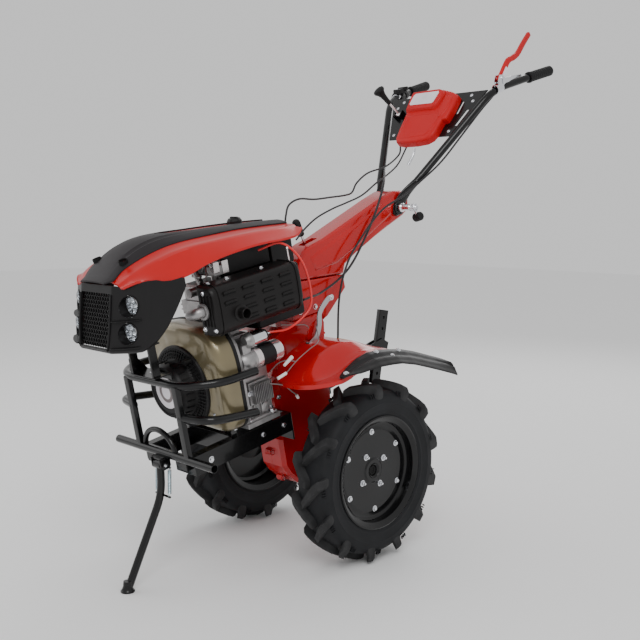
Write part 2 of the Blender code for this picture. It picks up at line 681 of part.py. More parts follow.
FENDER_CREST = ((-175, 327), (-140, 352), (-100, 378), (-50, 391), (0, 393), (50, 383), (109, 350),
                (160, 327), (205, 306), (250, 284))
FENDER_LIP = ((-200, 327), (-149, 327), (-104, 329), (-70, 335), (-40, 346), (16, 355), (50, 353),
              (96, 342), (161, 323), (205, 302), (250, 281))
FENDER_ROWS = (
    # y, inner x, outer x
    (-200, 188, 222), (-185, 140, 262), (-165, 112, 292), (-140, 104, 314), (-110, 104, 328),
    (-75, 104, 332), (-40, 104, 320), (0, 104, 316), (45, 104, 316), (90, 104, 316), (130, 104, 316),
    (170, 104, 316), (205, 112, 316), (235, 130, 300),
)
EDGE_ROWS = (
    # y, inner x, outer x, inner z, outer z
    (-118, 325, 338, 336, 336), (-100, 312, 346, 339, 341), (-60, 302, 350, 348, 336),
    (-20, 297, 350, 357, 333), (27, 297, 350, 361, 328), (70, 297, 350, 355, 320),
    (114, 297, 350, 344, 310), (170, 297, 350, 327, 288), (224, 297, 350, 304, 262),
    (290, 297, 350, 271, 229), (340, 305, 350, 245, 203), (363, 325, 346, 228, 191),
)


def smooth_step(value):
    value = min(1.0, max(0.0, value))
    return value * value * (3 - 2 * value)


def along(line, at):
    """The height at this place along a line of (place, height) points."""
    for (a, low), (b, high) in zip(line, line[1:]):
        if at <= b:
            return low + (high - low) * (max(at, a) - a) / (b - a)
    return line[-1][1]


def fender_height(x, y):
    """A dome over the wheel's inner half that falls to a flat lip in front and outside."""
    lip = along(FENDER_LIP, y)
    dome = (along(FENDER_CREST, y) - lip) * smooth_step((285 - x) / 75)
    return lip + max(0.0, dome) - max(0.0, x - 296) * 0.5 * smooth_step((y + 75) / 45)


def build_fenders():
    for word, s in SIDES:
        rings = []
        for row, (y, low, high) in enumerate(FENDER_ROWS):
            top = [(low + (high - low) * k / 8, fender_height(low + (high - low) * k / 8, y))
                   for k in range(9)]
            skirt = 13 if row == 0 else 2.4
            under = [(x, z - skirt) for x, z in top[-2:0:-1]]
            section = top + [(high, top[-1][1] - 13), (high - 2.4, top[-1][1] - 13),
                             (high - 2.4, top[-1][1] - skirt)] + under
            section += [(low + 2.4, top[0][1] - skirt), (low + 2.4, top[0][1] - 13), (low, top[0][1] - 13)]
            rings.append([(s * x, y, z) for x, z in section])
        front = [(x, -197.6, z) for x, y, z in rings[0]]
        adds = [stack([rings[0], front] + rings[1:])]
        adds.append(prism([(-150, 278), (-140, 350), (-100, 375), (-50, 388), (-30, 389), (-20, 300),
                           (-60, 262)], *sorted((s * 104, s * 107)), "x"))
        adds.append(block(*sorted((s * 57.5, s * 106)), -84, -64, 280, 300))
        piece(f"fender_{word}", RED, (s * 196, 0, 350), adds)
        rings = []
        for y, low, high, inner, outer in EDGE_ROWS:
            top = [(low, inner), (low * 0.7 + high * 0.3, inner * 0.7 + outer * 0.3 + 4),
                   (low * 0.3 + high * 0.7, inner * 0.3 + outer * 0.7 + 2), (high, outer)]
            rings.append([(s * x, y, z) for x, z in top + [(x, z - 2.6) for x, z in top[::-1]]])
        adds = [stack(rings)]
        adds += bolt_heads([((s * 332, -100, 341), (0, 0, 1)), ((s * 306, 57, 353), (0, 0, 1)),
                            ((s * 306, 150, 330), (0, 0, 1))], 6, 4)
        piece(f"fender_edge_{word}", BLACK_PLASTIC, (s * 306, 60, 340), adds)


# ---------------------------------------------------------------- boom, handlebars and controls

def seam(y, gap):
    return 558 - 0.1285 * y + gap


def build_boom():
    base = [(-10, 440.6), (104, 440.6), (113, 412), (132, 418), (226, 486), (224, seam(224, -0.4)),
            (-6, seam(-6, -0.4))]
    adds = [pillow(base, -47, 47, 4, "x")]
    adds += bolt_heads([((47, 20, 462), (1, 0, 0)), ((47, 84, 462), (1, 0, 0)),
                        ((-47, 20, 462), (-1, 0, 0)),
                        ((-47, 84, 462), (-1, 0, 0))], 7, 5)
    adds.append(rod(tuple(Vector(SWIVEL) - Vector(SWIVEL_UP) * 22),
                    tuple(Vector(SWIVEL) + Vector(SWIVEL_UP) * 24), 20, steps=18))
    piece("boom_base", RED, (0, 100, 500), adds)

    shape = [(18, seam(18, 0.4)), (44, 612), (76, 640), (113, 650), (160, 657), (435, 728), (500, 742),
             (552, 736),
             (578, 706), (572, 668), (540, 652), (457, 630), (395, 612), (298, 580), (242, 556),
             (229, seam(229, 0.4))]
    rows = [(inset(shape, 9), -45), (shape, -34), (shape, 34), (inset(shape, 9), 45)]
    rows = [([(y, max(z, seam(y, 0.4))) for y, z in line], x) for line, x in rows]
    adds = [stack([[(x, y, z) for y, z in line] for line, x in rows])]
    slot = block(-13, 13, 104, 164, 600, 700)
    boolean(slot, [rod((-20, 130, 628), (20, 130, 628), 4, steps=8)], "DIFFERENCE")
    cuts = [rod(tuple(Vector(SWIVEL) - Vector(SWIVEL_UP) * 9),
                tuple(Vector(SWIVEL) + Vector(SWIVEL_UP) * 26), 20.5,
                steps=18), slot, rod((-60, *CLAMP[1:]), (60, *CLAMP[1:]), 7.8, steps=12)]
    piece("handlebar_boom", RED, SWIVEL, adds, cuts)

    adds = [rod((0, 130, 628), (0, 108, 690), 4.5, steps=8),
            rod((-12.4, 130, 628), (12.4, 130, 628), 8, steps=12),
            turned([(0, -26), (11, -26), (12.5, 20), (8, 28), (0, 28)], (0, 104.5, 702),
                   (0, -0.323, 0.946), 12)]
    piece("boom_lock_lever", BLACK_PLASTIC, (0, 130, 628), adds,
          [rod((-16, 130, 628), (16, 130, 628), 4.6, steps=8)])

    py, pz = CLAMP[1:]
    grip_in = (262, 1000, 1034)
    grip_out = (275, 1120, 1045)
    for word, s in SIDES:
        ear = pillow([(488, 664), (506, 658), (530, 666), (566, 712), (560, 742), (534, 736), (492, 704)],
                     *sorted((s * 45.4, s * 58)), 2, "x")
        path = flip([(60, 545, 722), (227, 851, 1014), grip_in, grip_out], s)
        adds = [ear, tube(path, 12.5, bend=[60, 6], corner=3, steps=10)]
        if s == 1:
            for x in (228, 244):
                adds.append(prism([(864, 1012), (900, 1022), (900, 1040), (888, 1058), (872, 1058),
                                   (864, 1044)],
                                  x, x + 3, "x"))
            adds.append(rod((226, *LEVER[1:]), (249, *LEVER[1:]), 4, steps=8))
            adds.append(prism([(884, 1030), (960, 1036), (984, 1040), (984, 1048), (950, 1052),
                               (884, 1046)],
                              244, 247, "x"))
        cut = [rod((s * 40, *CLAMP[1:]), (s * 70, *CLAMP[1:]), 7.6, steps=14)]
        piece(f"handlebar_{word}", BLACK_PAINT, (s * 52, py, pz), adds, cut)
        way = (Vector(grip_out) - Vector(grip_in)).normalized()
        sleeve = turned([(13.3, -108), (16.5, -108), (18, -103), (16.4, -96), (16.4, -8), (17.5, 2),
                         (14, 8),
                         (4, 9), (4, 0.5), (13.3, 0.5)], grip_out, way, 12, ring=True)
        if s < 0:
            sleeve.data.transform(Matrix.Scale(-1, 4, (1, 0, 0)))
            sleeve.data.flip_normals()
        piece(f"grip_{word}", RUBBER, (s * 268, 1060, 1040), [sleeve])

    adds = [turned([(0, -66), (12, -66), (12, -58.4), (7, -58.4), (7, 58.4), (14, 58.4), (14, 64),
                    (11, 68), (11, 106),
                    (8, 108), (8, 130), (0, 130)], CLAMP, (1, 0, 0), 12)]
    adds += [rod((112, py, pz), (126, py, pz), 13),
             rod((119, py, pz), (119, py + 14, pz - 34), 6, steps=8),
             rod((104, py + 16, pz - 38), (134, py + 13, pz - 30), 14, steps=12)]
    piece("clamp_screw", CHROME, CLAMP, adds)


def slant(across, along, out):
    """A point given in the plane of the handlebars: across, up along the bars, out of the plane."""
    way = Vector((0, 0.7255, 0.6882))
    normal = Vector((0, -0.6882, 0.7255))
    return tuple(Vector((0, 715, 885)) + Vector((across, 0, 0)) + way * along + normal * out)


def slab(outline, low, high, edge=0.0):
    rows = [(outline, low), (outline, high - edge), (inset(outline, edge), high)] if edge else [
        (outline, low), (outline, high)]
    return stack([[slant(a, b, c) for a, b in line] for line, c in rows])


def build_controls():
    top, low = 190, 2
    plate = [(-208, top), (208, top), (134, low), (-134, low)]
    holes = [slab([(s * 118, 96), (s * 126, 96), (s * 130, 150), (s * 122, 150)], -10, 10) for s in (1,)]
    holes += [slab([(s * 134, 44), (s * 146, 44), (s * 168, 112), (s * 156, 112)], -10, 10) for s in (1,)]
    holes += [rod(slant(s * 166, 146, -10), slant(s * 166, 146, 10), 6, steps=8) for s in (1, -1)]
    holes += [rod(slant(s * 122, 22, -10), slant(s * 122, 22, 10), 5, steps=8) for s in (1, -1)]
    adds = [slab(plate, -2, 2)]
    for a in (-147, -118):
        adds.append(slab([(a - 1.5, 92), (a + 1.5, 92), (a + 1.5, 120), (a - 1.5, 120)], 0, 24))
    piece("control_plate", BLACK_PAINT, slant(0, 80, 0), adds, holes)

    cover = [(-93, 187), (40, 190), (112, 163), (116, 100), (104, 18), (92, -20), (48, -45), (-30, -38),
             (-64, -5), (-78, 100)]
    adds = [slab(cover, 2.4, 32, 8), slab([(-78, 96), (50, 96), (62, 150), (30, 182), (-88, 178)], 30, 44,
                                          6)]
    piece("control_cover", RED_PLASTIC, slant(6, 80, 20), adds, [slab(inset(cover, 3), 0, 29, 8)])

    foot = slant(-132.5, 106, 14)
    knob = slant(-160, 126, 112)
    adds = [rod(foot, knob, 4.5, steps=8),
            turned([(0, -44), (8, -44), (9, -30), (11, -10), (20, 6), (20, 12), (14, 16), (0, 16)],
                   knob, Vector(knob) - Vector(foot), 12),
            rod(slant(-143.4, 106, 14), slant(-121.6, 106, 14), 7, steps=8)]
    piece("gear_lever", BLACK_PLASTIC, foot, adds)

    line = [(864, 1040), (888, 1062), (931, 1106), (993, 1124), (1071, 1184), (1079, 1180), (1075, 1168),
            (999, 1110), (939, 1092), (897, 1042), (884, 1038), (874, 1036)]
    piece("clutch_lever", RED_PLASTIC, LEVER, [pillow(line, 232, 242.6, 2, "x")],
          [rod((222, *LEVER[1:]), (256, *LEVER[1:]), 4.6, steps=8)])

    spot = Vector((-262, 1000, 1034)).lerp(Vector((-227, 851, 1014)), 0.28)
    adds = [turned([(13.6, -12), (19, -12), (19, 12), (13.6, 12)], tuple(spot), (-0.2266, 0.9647, 0.1295),
                   12, ring=True),
            prism([(-264, 942), (-256, 938), (-232, 962), (-236, 970)], 1044, 1058, "z")]
    piece("throttle_lever", BLACK_PLASTIC, tuple(spot), adds)


def build_rear():
    way = Vector((0, -85, -224)).normalized()
    adds = [prism([(95.2, 168), (106, 168), (106, 236), (97.6, 236)], -38, 38, "x")]
    for s in (1, -1):
        adds.append(prism([(103, 172), (398, 186), (424, 240), (396, 262), (103, 232)],
                          *sorted((s * 8.6, s * 13)), "x"))
    adds.append(block(-10, 10, 200, 210, 190, 250))
    piece("hitch_bracket", BLACK_PAINT, (0, 250, 220), adds)
    top = Vector((0, 430, 352))
    across = Vector((0, way.z, -way.y)).normalized() * 20
    a, b = top + across, top - across
    c, d = b + way * 250, a + way * 250
    outline = [(p.y, p.z) for p in (a, b, c, d)]
    holes = []
    for i in range(6):
        mid = top + way * (25 + 38 * i)
        holes.append(rod((-12, mid.y, mid.z), (12, mid.y, mid.z), 5.5, steps=6))
    piece("depth_bar", BLACK_PAINT, tuple(top + way * 125), [prism(outline, -8, 8, "x")], holes)


def cable(name, slot, points, radius, bend=30, steps=5):
    piece(name, slot, points[0], [tube(points, radius, bend=bend, corner=3, steps=steps)])


def build_cables():
    cable("battery_cable", RED_CABLE, [(126, -170, 700), (160, -112, 708), (186, -70, 650),
                                       (190, -55, 560),
                                       (186, -70, 505), (170, -135, 470), (162, -156, 440)], 3.6, bend=45)
    cable("clutch_cable", BLACK_PLASTIC, [(238, 822, 962), (168, 716, 842), (96, 560, 810),
                                          (82, 470, 770),
                                          (80, 357, 690), (80, 215, 570), (78, 160, 470), (74, 130, 330)],
                                          3.2, bend=50)
    cable("throttle_cable", BLACK_PLASTIC, [(-200, 812, 950), (-120, 690, 820), (-20, 560, 800),
                                            (56, 450, 775),
                                            (62, 379, 655), (64, 270, 575), (66, 131, 518), (90, 20, 516),
                                            (126, 0, 520), (126, -30, 520)], 3.6, bend=45)
    cable("lock_cable", BLACK_PLASTIC, [(40, 700, 850), (50, 610, 860), (45, 524, 835), (50, 400, 838),
                                        (50, 312, 790),
                                        (50, 303, 757), (40, 200, 735), (36, 100, 742), (30, 60, 750)],
                                        3.0, bend=40)


build_chassis()
build_guard()
build_engine()
build_hood()
build_gearbox()
build_axle()
build_fenders()
build_boom()
build_controls()
build_rear()
build_cables()

bpy.data.collections.remove(BENCH)
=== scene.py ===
"""The looks of the power tiller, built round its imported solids.

Sizes are in millimetres in the machine's own frame: x to the operator's left, y to the rear,
z up, with the origin at the middle of the wheel axle. MACHINE carries them to the row frame.
"""

import math

import bmesh
import bpy
from mathutils import Matrix, Vector


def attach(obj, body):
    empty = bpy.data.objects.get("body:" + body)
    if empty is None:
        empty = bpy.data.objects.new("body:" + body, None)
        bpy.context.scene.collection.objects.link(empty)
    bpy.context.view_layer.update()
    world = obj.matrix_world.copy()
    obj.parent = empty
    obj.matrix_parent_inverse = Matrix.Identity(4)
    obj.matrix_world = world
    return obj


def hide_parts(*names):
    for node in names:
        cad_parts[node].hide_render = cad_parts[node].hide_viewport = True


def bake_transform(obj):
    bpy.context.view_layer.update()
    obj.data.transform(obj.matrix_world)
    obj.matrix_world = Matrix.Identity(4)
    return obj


MM = 0.001
PITCH = math.radians(11.83)
MACHINE = Matrix.Translation((0, -0.06872, 0.27)) @ Matrix.Rotation(PITCH, 4, "X")
TO_ROW = MACHINE @ Matrix.Scale(MM, 4)
CRANK_Z = 365.0
WHEEL_MID = 264.0
SIDES = (("left", 1), ("right", -1))

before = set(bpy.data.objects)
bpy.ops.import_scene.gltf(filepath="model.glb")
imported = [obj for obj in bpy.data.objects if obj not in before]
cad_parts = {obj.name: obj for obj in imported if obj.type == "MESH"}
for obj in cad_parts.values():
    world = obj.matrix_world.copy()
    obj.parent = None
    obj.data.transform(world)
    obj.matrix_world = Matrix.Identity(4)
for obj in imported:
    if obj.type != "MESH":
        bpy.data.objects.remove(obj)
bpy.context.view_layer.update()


# ---------------------------------------------------------------- materials

def finish(name, colour, metallic=0.0, roughness=0.5, coat=0.0, spread=0.06, fleck=0.12,
           grain=400.0, bump=0.1, depth=0.0002, blotch=9.0, dust=None):
    """A material whose colour and gloss wander a little, with a fine surface grain.

    spread is how far the roughness wanders, fleck how far the colour does, grain and blotch
    the two noise scales per metre, and dust a paler colour that gathers in patches.
    """
    made = bpy.data.materials.new(name)
    made.use_nodes = True
    nodes, links = made.node_tree.nodes, made.node_tree.links
    shader = nodes["Principled BSDF"]
    shader.inputs["Metallic"].default_value = metallic
    shader.inputs["Coat Weight"].default_value = coat
    shader.inputs["Coat Roughness"].default_value = 0.08
    shader.inputs["Specular IOR Level"].default_value = 0.5 if metallic > 0.4 else 0.26
    place = nodes.new("ShaderNodeTexCoord")
    wide = nodes.new("ShaderNodeTexNoise")
    wide.inputs["Scale"].default_value = blotch
    wide.inputs["Detail"].default_value = 5
    fine = nodes.new("ShaderNodeTexNoise")
    fine.inputs["Scale"].default_value = grain
    fine.inputs["Detail"].default_value = 3
    for cloud in (wide, fine):
        links.new(place.outputs["Object"], cloud.inputs["Vector"])
    ramp = nodes.new("ShaderNodeValToRGB")
    ramp.color_ramp.elements[0].position = 0.3
    ramp.color_ramp.elements[1].position = 0.7
    ramp.color_ramp.elements[0].color = (*[c * (1 - fleck) for c in colour], 1)
    ramp.color_ramp.elements[1].color = (*(dust or [min(1, c * (1 + fleck)) for c in colour]), 1)
    links.new(wide.outputs["Fac"], ramp.inputs["Fac"])
    links.new(ramp.outputs["Color"], shader.inputs["Base Color"])
    gloss = nodes.new("ShaderNodeMapRange")
    gloss.inputs["To Min"].default_value = max(0.02, roughness - spread)
    gloss.inputs["To Max"].default_value = min(1.0, roughness + spread)
    links.new(wide.outputs["Fac"], gloss.inputs["Value"])
    links.new(gloss.outputs["Result"], shader.inputs["Roughness"])
    if bump:
        rough = nodes.new("ShaderNodeBump")
        rough.inputs["Strength"].default_value = bump
        rough.inputs["Distance"].default_value = depth
        links.new(fine.outputs["Fac"], rough.inputs["Height"])
        links.new(rough.outputs["Normal"], shader.inputs["Normal"])
    return made


RED = finish("red enamel", (0.46, 0.002, 0.003), 0.0, 0.22, coat=0.5, bump=0.06, grain=120, fleck=0.06)
RED_PLASTIC = finish("red moulded plastic", (0.5, 0.003, 0.003), 0.0, 0.3, coat=0.25, bump=0.05,
                     grain=900, fleck=0.05)
RED_MATT = finish("red console plastic", (0.52, 0.006, 0.008), 0.0, 0.46, coat=0.05, bump=0.1,
                  grain=1200, fleck=0.05)
BLACK = finish("black enamel", (0.004, 0.004, 0.0044), 0.0, 0.22, coat=0.25, bump=0.08, grain=160)
BLACK_PLASTIC = finish("black moulded plastic", (0.008, 0.0075, 0.008), 0.0, 0.42, bump=0.25,
                       grain=1400, depth=0.0001)
BAND = finish("black band plastic", (0.016, 0.013, 0.015), 0.0, 0.5, bump=0.35, grain=1500,
              depth=0.0001)
HEATPROOF = finish("heatproof black paint", (0.008, 0.007, 0.007), 0.1, 0.36, bump=0.3, grain=800,
                   depth=0.0001)
RUBBER = finish("grip rubber", (0.009, 0.009, 0.0095), 0.0, 0.6, bump=0.3, grain=900)
TYRE = finish("tyre rubber", (0.009, 0.0095, 0.011), 0.0, 0.62, bump=0.4, grain=260, depth=0.0004,
              fleck=0.3, blotch=16)
LUG = finish("tread rubber", (0.018, 0.018, 0.019), 0.0, 0.8, bump=0.5, grain=240, depth=0.0004,
             dust=(0.04, 0.04, 0.041), blotch=22)
KHAKI = finish("champagne metallic paint", (0.2, 0.165, 0.09), 0.6, 0.3, coat=0.7, bump=0.05,
               grain=2500, fleck=0.1)
CAST = finish("cast aluminium", (0.36, 0.35, 0.35), 0.85, 0.42, spread=0.12, bump=0.5, grain=700,
              depth=0.0003, fleck=0.25, blotch=40)
STEEL = finish("machined steel", (0.5, 0.5, 0.51), 1.0, 0.3, bump=0.1, grain=900, fleck=0.1)
ZINC = finish("bright zinc plate", (0.74, 0.75, 0.78), 1.0, 0.17, bump=0.08, grain=600, fleck=0.08)
SPRING = finish("blue zinc plate", (0.5, 0.62, 0.68), 1.0, 0.25, bump=0.05, grain=600, fleck=0.1)
PEARL = finish("pale plated steel", (0.82, 0.76, 0.76), 0.9, 0.24, bump=0.05, fleck=0.05)
WHITE = finish("white plastic", (0.8, 0.79, 0.77), 0.0, 0.35, bump=0.05)
STICKER = finish("blank white sticker", (0.78, 0.74, 0.78), 0.0, 0.25, coat=0.6, bump=0.0)
YELLOW = finish("blank yellow sticker", (0.82, 0.56, 0.02), 0.0, 0.3, coat=0.6, bump=0.0)
RED_WIRE = finish("red cable sheath", (0.72, 0.03, 0.03), 0.0, 0.3, coat=0.4, bump=0.03)
BLACK_WIRE = finish("black cable sheath", (0.03, 0.028, 0.03), 0.0, 0.4, bump=0.03)
GREY_WIRE = finish("grey wire sheath", (0.2, 0.17, 0.17), 0.0, 0.45, bump=0.03)
# Painted shade: a matte near-black laid into slots, wells, a pipe mouth and the hub bore, standing for
# the shade inside them.
RECESS_SHADE = finish("painted recess shade", (0.004, 0.004, 0.004), 0.0, 0.7, bump=0.05)


def clear_lens():
    made = bpy.data.materials.new("clear lens")
    made.use_nodes = True
    shader = made.node_tree.nodes["Principled BSDF"]
    shader.inputs["Base Color"].default_value = (0.9, 0.93, 0.95, 1)
    shader.inputs["Roughness"].default_value = 0.04
    shader.inputs["Transmission Weight"].default_value = 0.95
    shader.inputs["IOR"].default_value = 1.3
    return made


GLASS = clear_lens()


# ---------------------------------------------------------------- shapes, each a bmesh in machine mm

def skin(rings, loop=False):
    """A surface over rings of equal length. A loop joins the last ring to the first."""
    made = bmesh.new()
    rows = [[made.verts.new(Vector(p)) for p in ring] for ring in rings]
    size = len(rows[0])
    pairs = list(zip(rows, rows[1:]))
    if loop:
        pairs.append((rows[-1], rows[0]))
    for a, b in pairs:
        for i in range(size):
            j = (i + 1) % size
            made.faces.new([a[i], a[j], b[j], b[i]])
    if not loop:
        made.faces.new(rows[0])
        made.faces.new(rows[-1])
    bmesh.ops.remove_doubles(made, verts=made.verts, dist=0.001)
    bmesh.ops.recalc_face_normals(made, faces=made.faces)
    return made


def soft(made, width, limit=30):
    """The same shape with its sharp edges rounded."""
    edges = [e for e in made.edges
             if len(e.link_faces) == 2 and e.calc_face_angle(0) > math.radians(limit)]
    bmesh.ops.bevel(made, geom=edges, offset=width, segments=2, profile=0.5,
                    affect="EDGES", clamp_overlap=True)
    return made


def lift(a, b, c, axis):
    """The point whose place along axis is c, with a and b the other two places in order."""
    return {"x": (c, a, b), "y": (a, c, b), "z": (a, b, c)}[axis]


def prism(outline, low, high, axis="z", edge=1.0):
    """An outline of (a, b) pairs carried along axis: (y, z) for x, (x, z) for y, (x, y) for z."""
    made = skin([[lift(a, b, c, axis) for a, b in outline] for c in (low, high)])
    return soft(made, edge) if edge else made


def block(x0, x1, y0, y1, z0, z1, edge=1.2):
    """A box between two planes on each axis, with rounded edges."""
    x0, x1 = sorted((x0, x1))
    return prism([(x0, y0), (x1, y0), (x1, y1), (x0, y1)], z0, z1, "z", edge)


def basis(axis):
    """Two directions square to the axis, and the axis itself."""
    forward = Vector(axis).normalized()
    side = Vector((0, 0, 1)).cross(forward)
    side = side.normalized() if side.length > 0.3 else forward.orthogonal().normalized()
    return side, forward.cross(side).normalized(), forward


def turned(profile, centre=(0, 0, 0), axis=(1, 0, 0), steps=48, ring=False, edge=0.0, phase=0.0):
    """A body turned from (radius, travel) pairs. A ring's profile is a closed loop."""
    side, up, forward = basis(axis)
    rows = []
    for radius, travel in profile:
        base = Vector(centre) + forward * travel
        rows.append([base + (side * math.cos(t) + up * math.sin(t)) * radius
                     for t in [2 * math.pi * (i + phase) / steps for i in range(steps)]])
    made = skin(rows, loop=ring)
    return soft(made, edge) if edge else made


def rod(start, end, radius, tip=None, steps=24, edge=0.6):
    """A round bar between two points, tapering to the tip radius if there is one."""
    way = Vector(end) - Vector(start)
    profile = [(radius, 0), (radius if tip is None else tip, way.length)]
    return turned(profile, start, way, steps, edge=edge)


def curve_through(points, per=8):
    """A smooth line through the points, with per steps between each pair."""
    points = [Vector(p) for p in points]
    padded = [points[0] * 2 - points[1]] + points + [points[-1] * 2 - points[-2]]
    path = []
    for a, b, c, d in zip(padded, padded[1:], padded[2:], padded[3:]):
        for k in range(per):
            t = k / per
            path.append(0.5 * (2 * b + (c - a) * t + (2 * a - 5 * b + 4 * c - d) * t * t
                               + (3 * b - 3 * c + d - a) * t ** 3))
    return path + [points[-1]]


def rounded(points, bend, steps=10):
    """The polyline with each inner corner replaced by a bend."""
    path = [Vector(points[0])]
    bends = bend if isinstance(bend, (list, tuple)) else [bend] * len(points)
    for before, here, after, wide in zip(points, points[1:], points[2:], bends):
        here = Vector(here)
        back = Vector(before) - here
        ahead = Vector(after) - here
        reach = min(wide, back.length * 0.48, ahead.length * 0.48)
        start = here + back.normalized() * reach
        end = here + ahead.normalized() * reach
        for k in range(steps + 1):
            t = k / steps
            path.append(start * (1 - t) ** 2 + here * 2 * t * (1 - t) + end * t * t)
    path.append(Vector(points[-1]))
    return path


def swept(path, radius, sides=16):
    """A tube along the path. radius may be a list with one value for each point."""
    rings = []
    normal = None
    for i, here in enumerate(path):
        way = (Vector(path[min(i + 1, len(path) - 1)]) - Vector(path[max(i - 1, 0)])).normalized()
        if normal is None:
            normal = basis(way)[0]
        normal = (normal - way * normal.dot(way)).normalized()
        up = way.cross(normal)
        size = radius[i] if isinstance(radius, list) else radius
        rings.append([Vector(here) + (normal * math.cos(t) + up * math.sin(t)) * size
                      for t in [2 * math.pi * k / sides for k in range(sides)]])
    return skin(rings)


def coil(start, end, radius, wire, turns, per_turn=20, sides=8):
    """A wire wound round the line from start to end."""
    side, up, forward = basis(Vector(end) - Vector(start))
    length = (Vector(end) - Vector(start)).length
    count = turns * per_turn
    path = []
    for i in range(count + 1):
        turn = 2 * math.pi * i / per_turn
        path.append(Vector(start) + forward * length * i / count
                    + (side * math.cos(turn) + up * math.sin(turn)) * radius)
    return swept(path, wire, sides)


def inset(outline, depth):
    """The outline moved inward by depth along the mean of each corner's two normals."""
    area = sum(a[0] * b[1] - b[0] * a[1] for a, b in zip(outline, outline[1:] + outline[:1]))
    turn = 1 if area > 0 else -1
    moved = []
    for i, here in enumerate(outline):
        p = Vector(here)
        d0 = (p - Vector(outline[i - 1])).normalized()
        d1 = (Vector(outline[(i + 1) % len(outline)]) - p).normalized()
        n0 = Vector((-d0.y, d0.x)) * turn
        n1 = Vector((-d1.y, d1.x)) * turn
        moved.append(tuple(p + (n0 + n1) / max(0.35, 1 + n0.dot(n1)) * depth))
    return moved


def flip(points, side):
    """The points as they are for side 1, and mirrored for side -1."""
    return [(side * p[0], p[1], p[2]) for p in points]


def hex_bolt(point, out, size=6.0, height=5.0):
    """A flanged hexagon bolt head standing on point."""
    way = Vector(out).normalized()
    base = Vector(point) - way * 0.6
    return [turned([(size * 1.45, 0), (size * 1.4, 1.6), (size, 2.0)], base, way, 24),
            turned([(size, 0), (size, height), (size * 0.86, height + 0.9), (size * 0.3, height + 0.9)],
                   base, way, 6, edge=0.3)]


def bolt_heads(places, size, height):
    """Bolt heads of one size on (point, way out) places."""
    return [part for point, out in places for part in hex_bolt(point, out, size, height)]


def smooth_step(value):
    """0 below 0, 1 above 1, and a smooth rise between."""
    value = min(1.0, max(0.0, value))
    return value * value * (3 - 2 * value)


# ---------------------------------------------------------------- pieces

def piece(name, parts, look, body="machine", stands_for=(), angle=35.0, rides=True):
    """One visible piece made of the parts, riding on a body and standing for CAD nodes.

    Its one material slot holds its look.
    """
    mesh = bpy.data.meshes.new(name)
    total = bmesh.new()
    for part in parts:
        part.to_mesh(mesh)
        total.from_mesh(mesh)
        part.free()
    for face in total.faces:
        face.smooth = True
    for edge in total.edges:
        edge.smooth = len(edge.link_faces) == 2 and edge.calc_face_angle(0) < math.radians(angle)
    total.to_mesh(mesh)
    total.free()
    mesh.transform(TO_ROW)
    mesh.materials.clear()
    mesh.materials.append(look)
    made = bpy.data.objects.new(name, mesh)
    bpy.context.scene.collection.objects.link(made)
    even = made.modifiers.new("even", "WEIGHTED_NORMAL")
    even.keep_sharp = True
    if stands_for:
        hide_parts(*stands_for)
    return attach(made, body) if rides else made


def bench_object(shape):
    """A bmesh as an object of its own, for a Boolean to work on."""
    mesh = bpy.data.meshes.new("bench")
    shape.to_mesh(mesh)
    shape.free()
    made = bpy.data.objects.new("bench", mesh)
    bpy.context.scene.collection.objects.link(made)
    return made


def carved(shape, cutters):
    """The shape with each cutter, a bmesh too, taken out of it in turn."""
    base = bench_object(shape)
    tools = [bench_object(cutter) for cutter in cutters]
    for tool in tools:
        step = base.modifiers.new("cut", "BOOLEAN")
        step.object = tool
        step.solver = "EXACT"
    bpy.context.view_layer.update()
    cut = base.evaluated_get(bpy.context.evaluated_depsgraph_get()).to_mesh()
    made = bmesh.new()
    made.from_mesh(cut)
    bmesh.ops.remove_doubles(made, verts=made.verts, dist=0.002)
    for obj in [base] + tools:
        bpy.data.objects.remove(obj)
    return made


def keep(node, look, bevel=0.0007):
    """A CAD node whose shape is right: a better material, and small rounds on its sharp edges."""
    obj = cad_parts[node]
    obj.data.materials.clear()
    obj.data.materials.append(look)
    weld = obj.modifiers.new("weld", "WELD")
    weld.merge_threshold = 0.00002
    if bevel:
        edge = obj.modifiers.new("edge", "BEVEL")
        edge.width = bevel
        edge.segments = 2
        edge.limit_method = "ANGLE"
        edge.angle_limit = math.radians(35)
        edge.use_clamp_overlap = True
        edge.harden_normals = False
    return obj


# ---------------------------------------------------------------- wheels

LUG_PAIRS = 13
LUG_LEAN = math.radians(15)
LUG_PATH = (
    # share of the lean, top (across, radius), foot (across, radius), half width of top and foot
    (-0.1, (-10, 265.5), (-12, 240), 9.0, 14.0),
    (0.0, (-5, 269.5), (-6, 240), 11.5, 17.0),
    (0.35, (16, 269.5), (16, 240), 12.0, 17.5),
    (0.72, (37, 268), (36, 238), 12.5, 18.0),
    (0.92, (52, 264), (48, 233), 12.5, 18.0),
    (0.97, (60.5, 252), (52, 226), 12.5, 18.0),
    (1.0, (61.5, 238), (54, 218), 11.5, 16.0),
    (1.02, (58.5, 222), (53, 210), 8.0, 11.0),
)


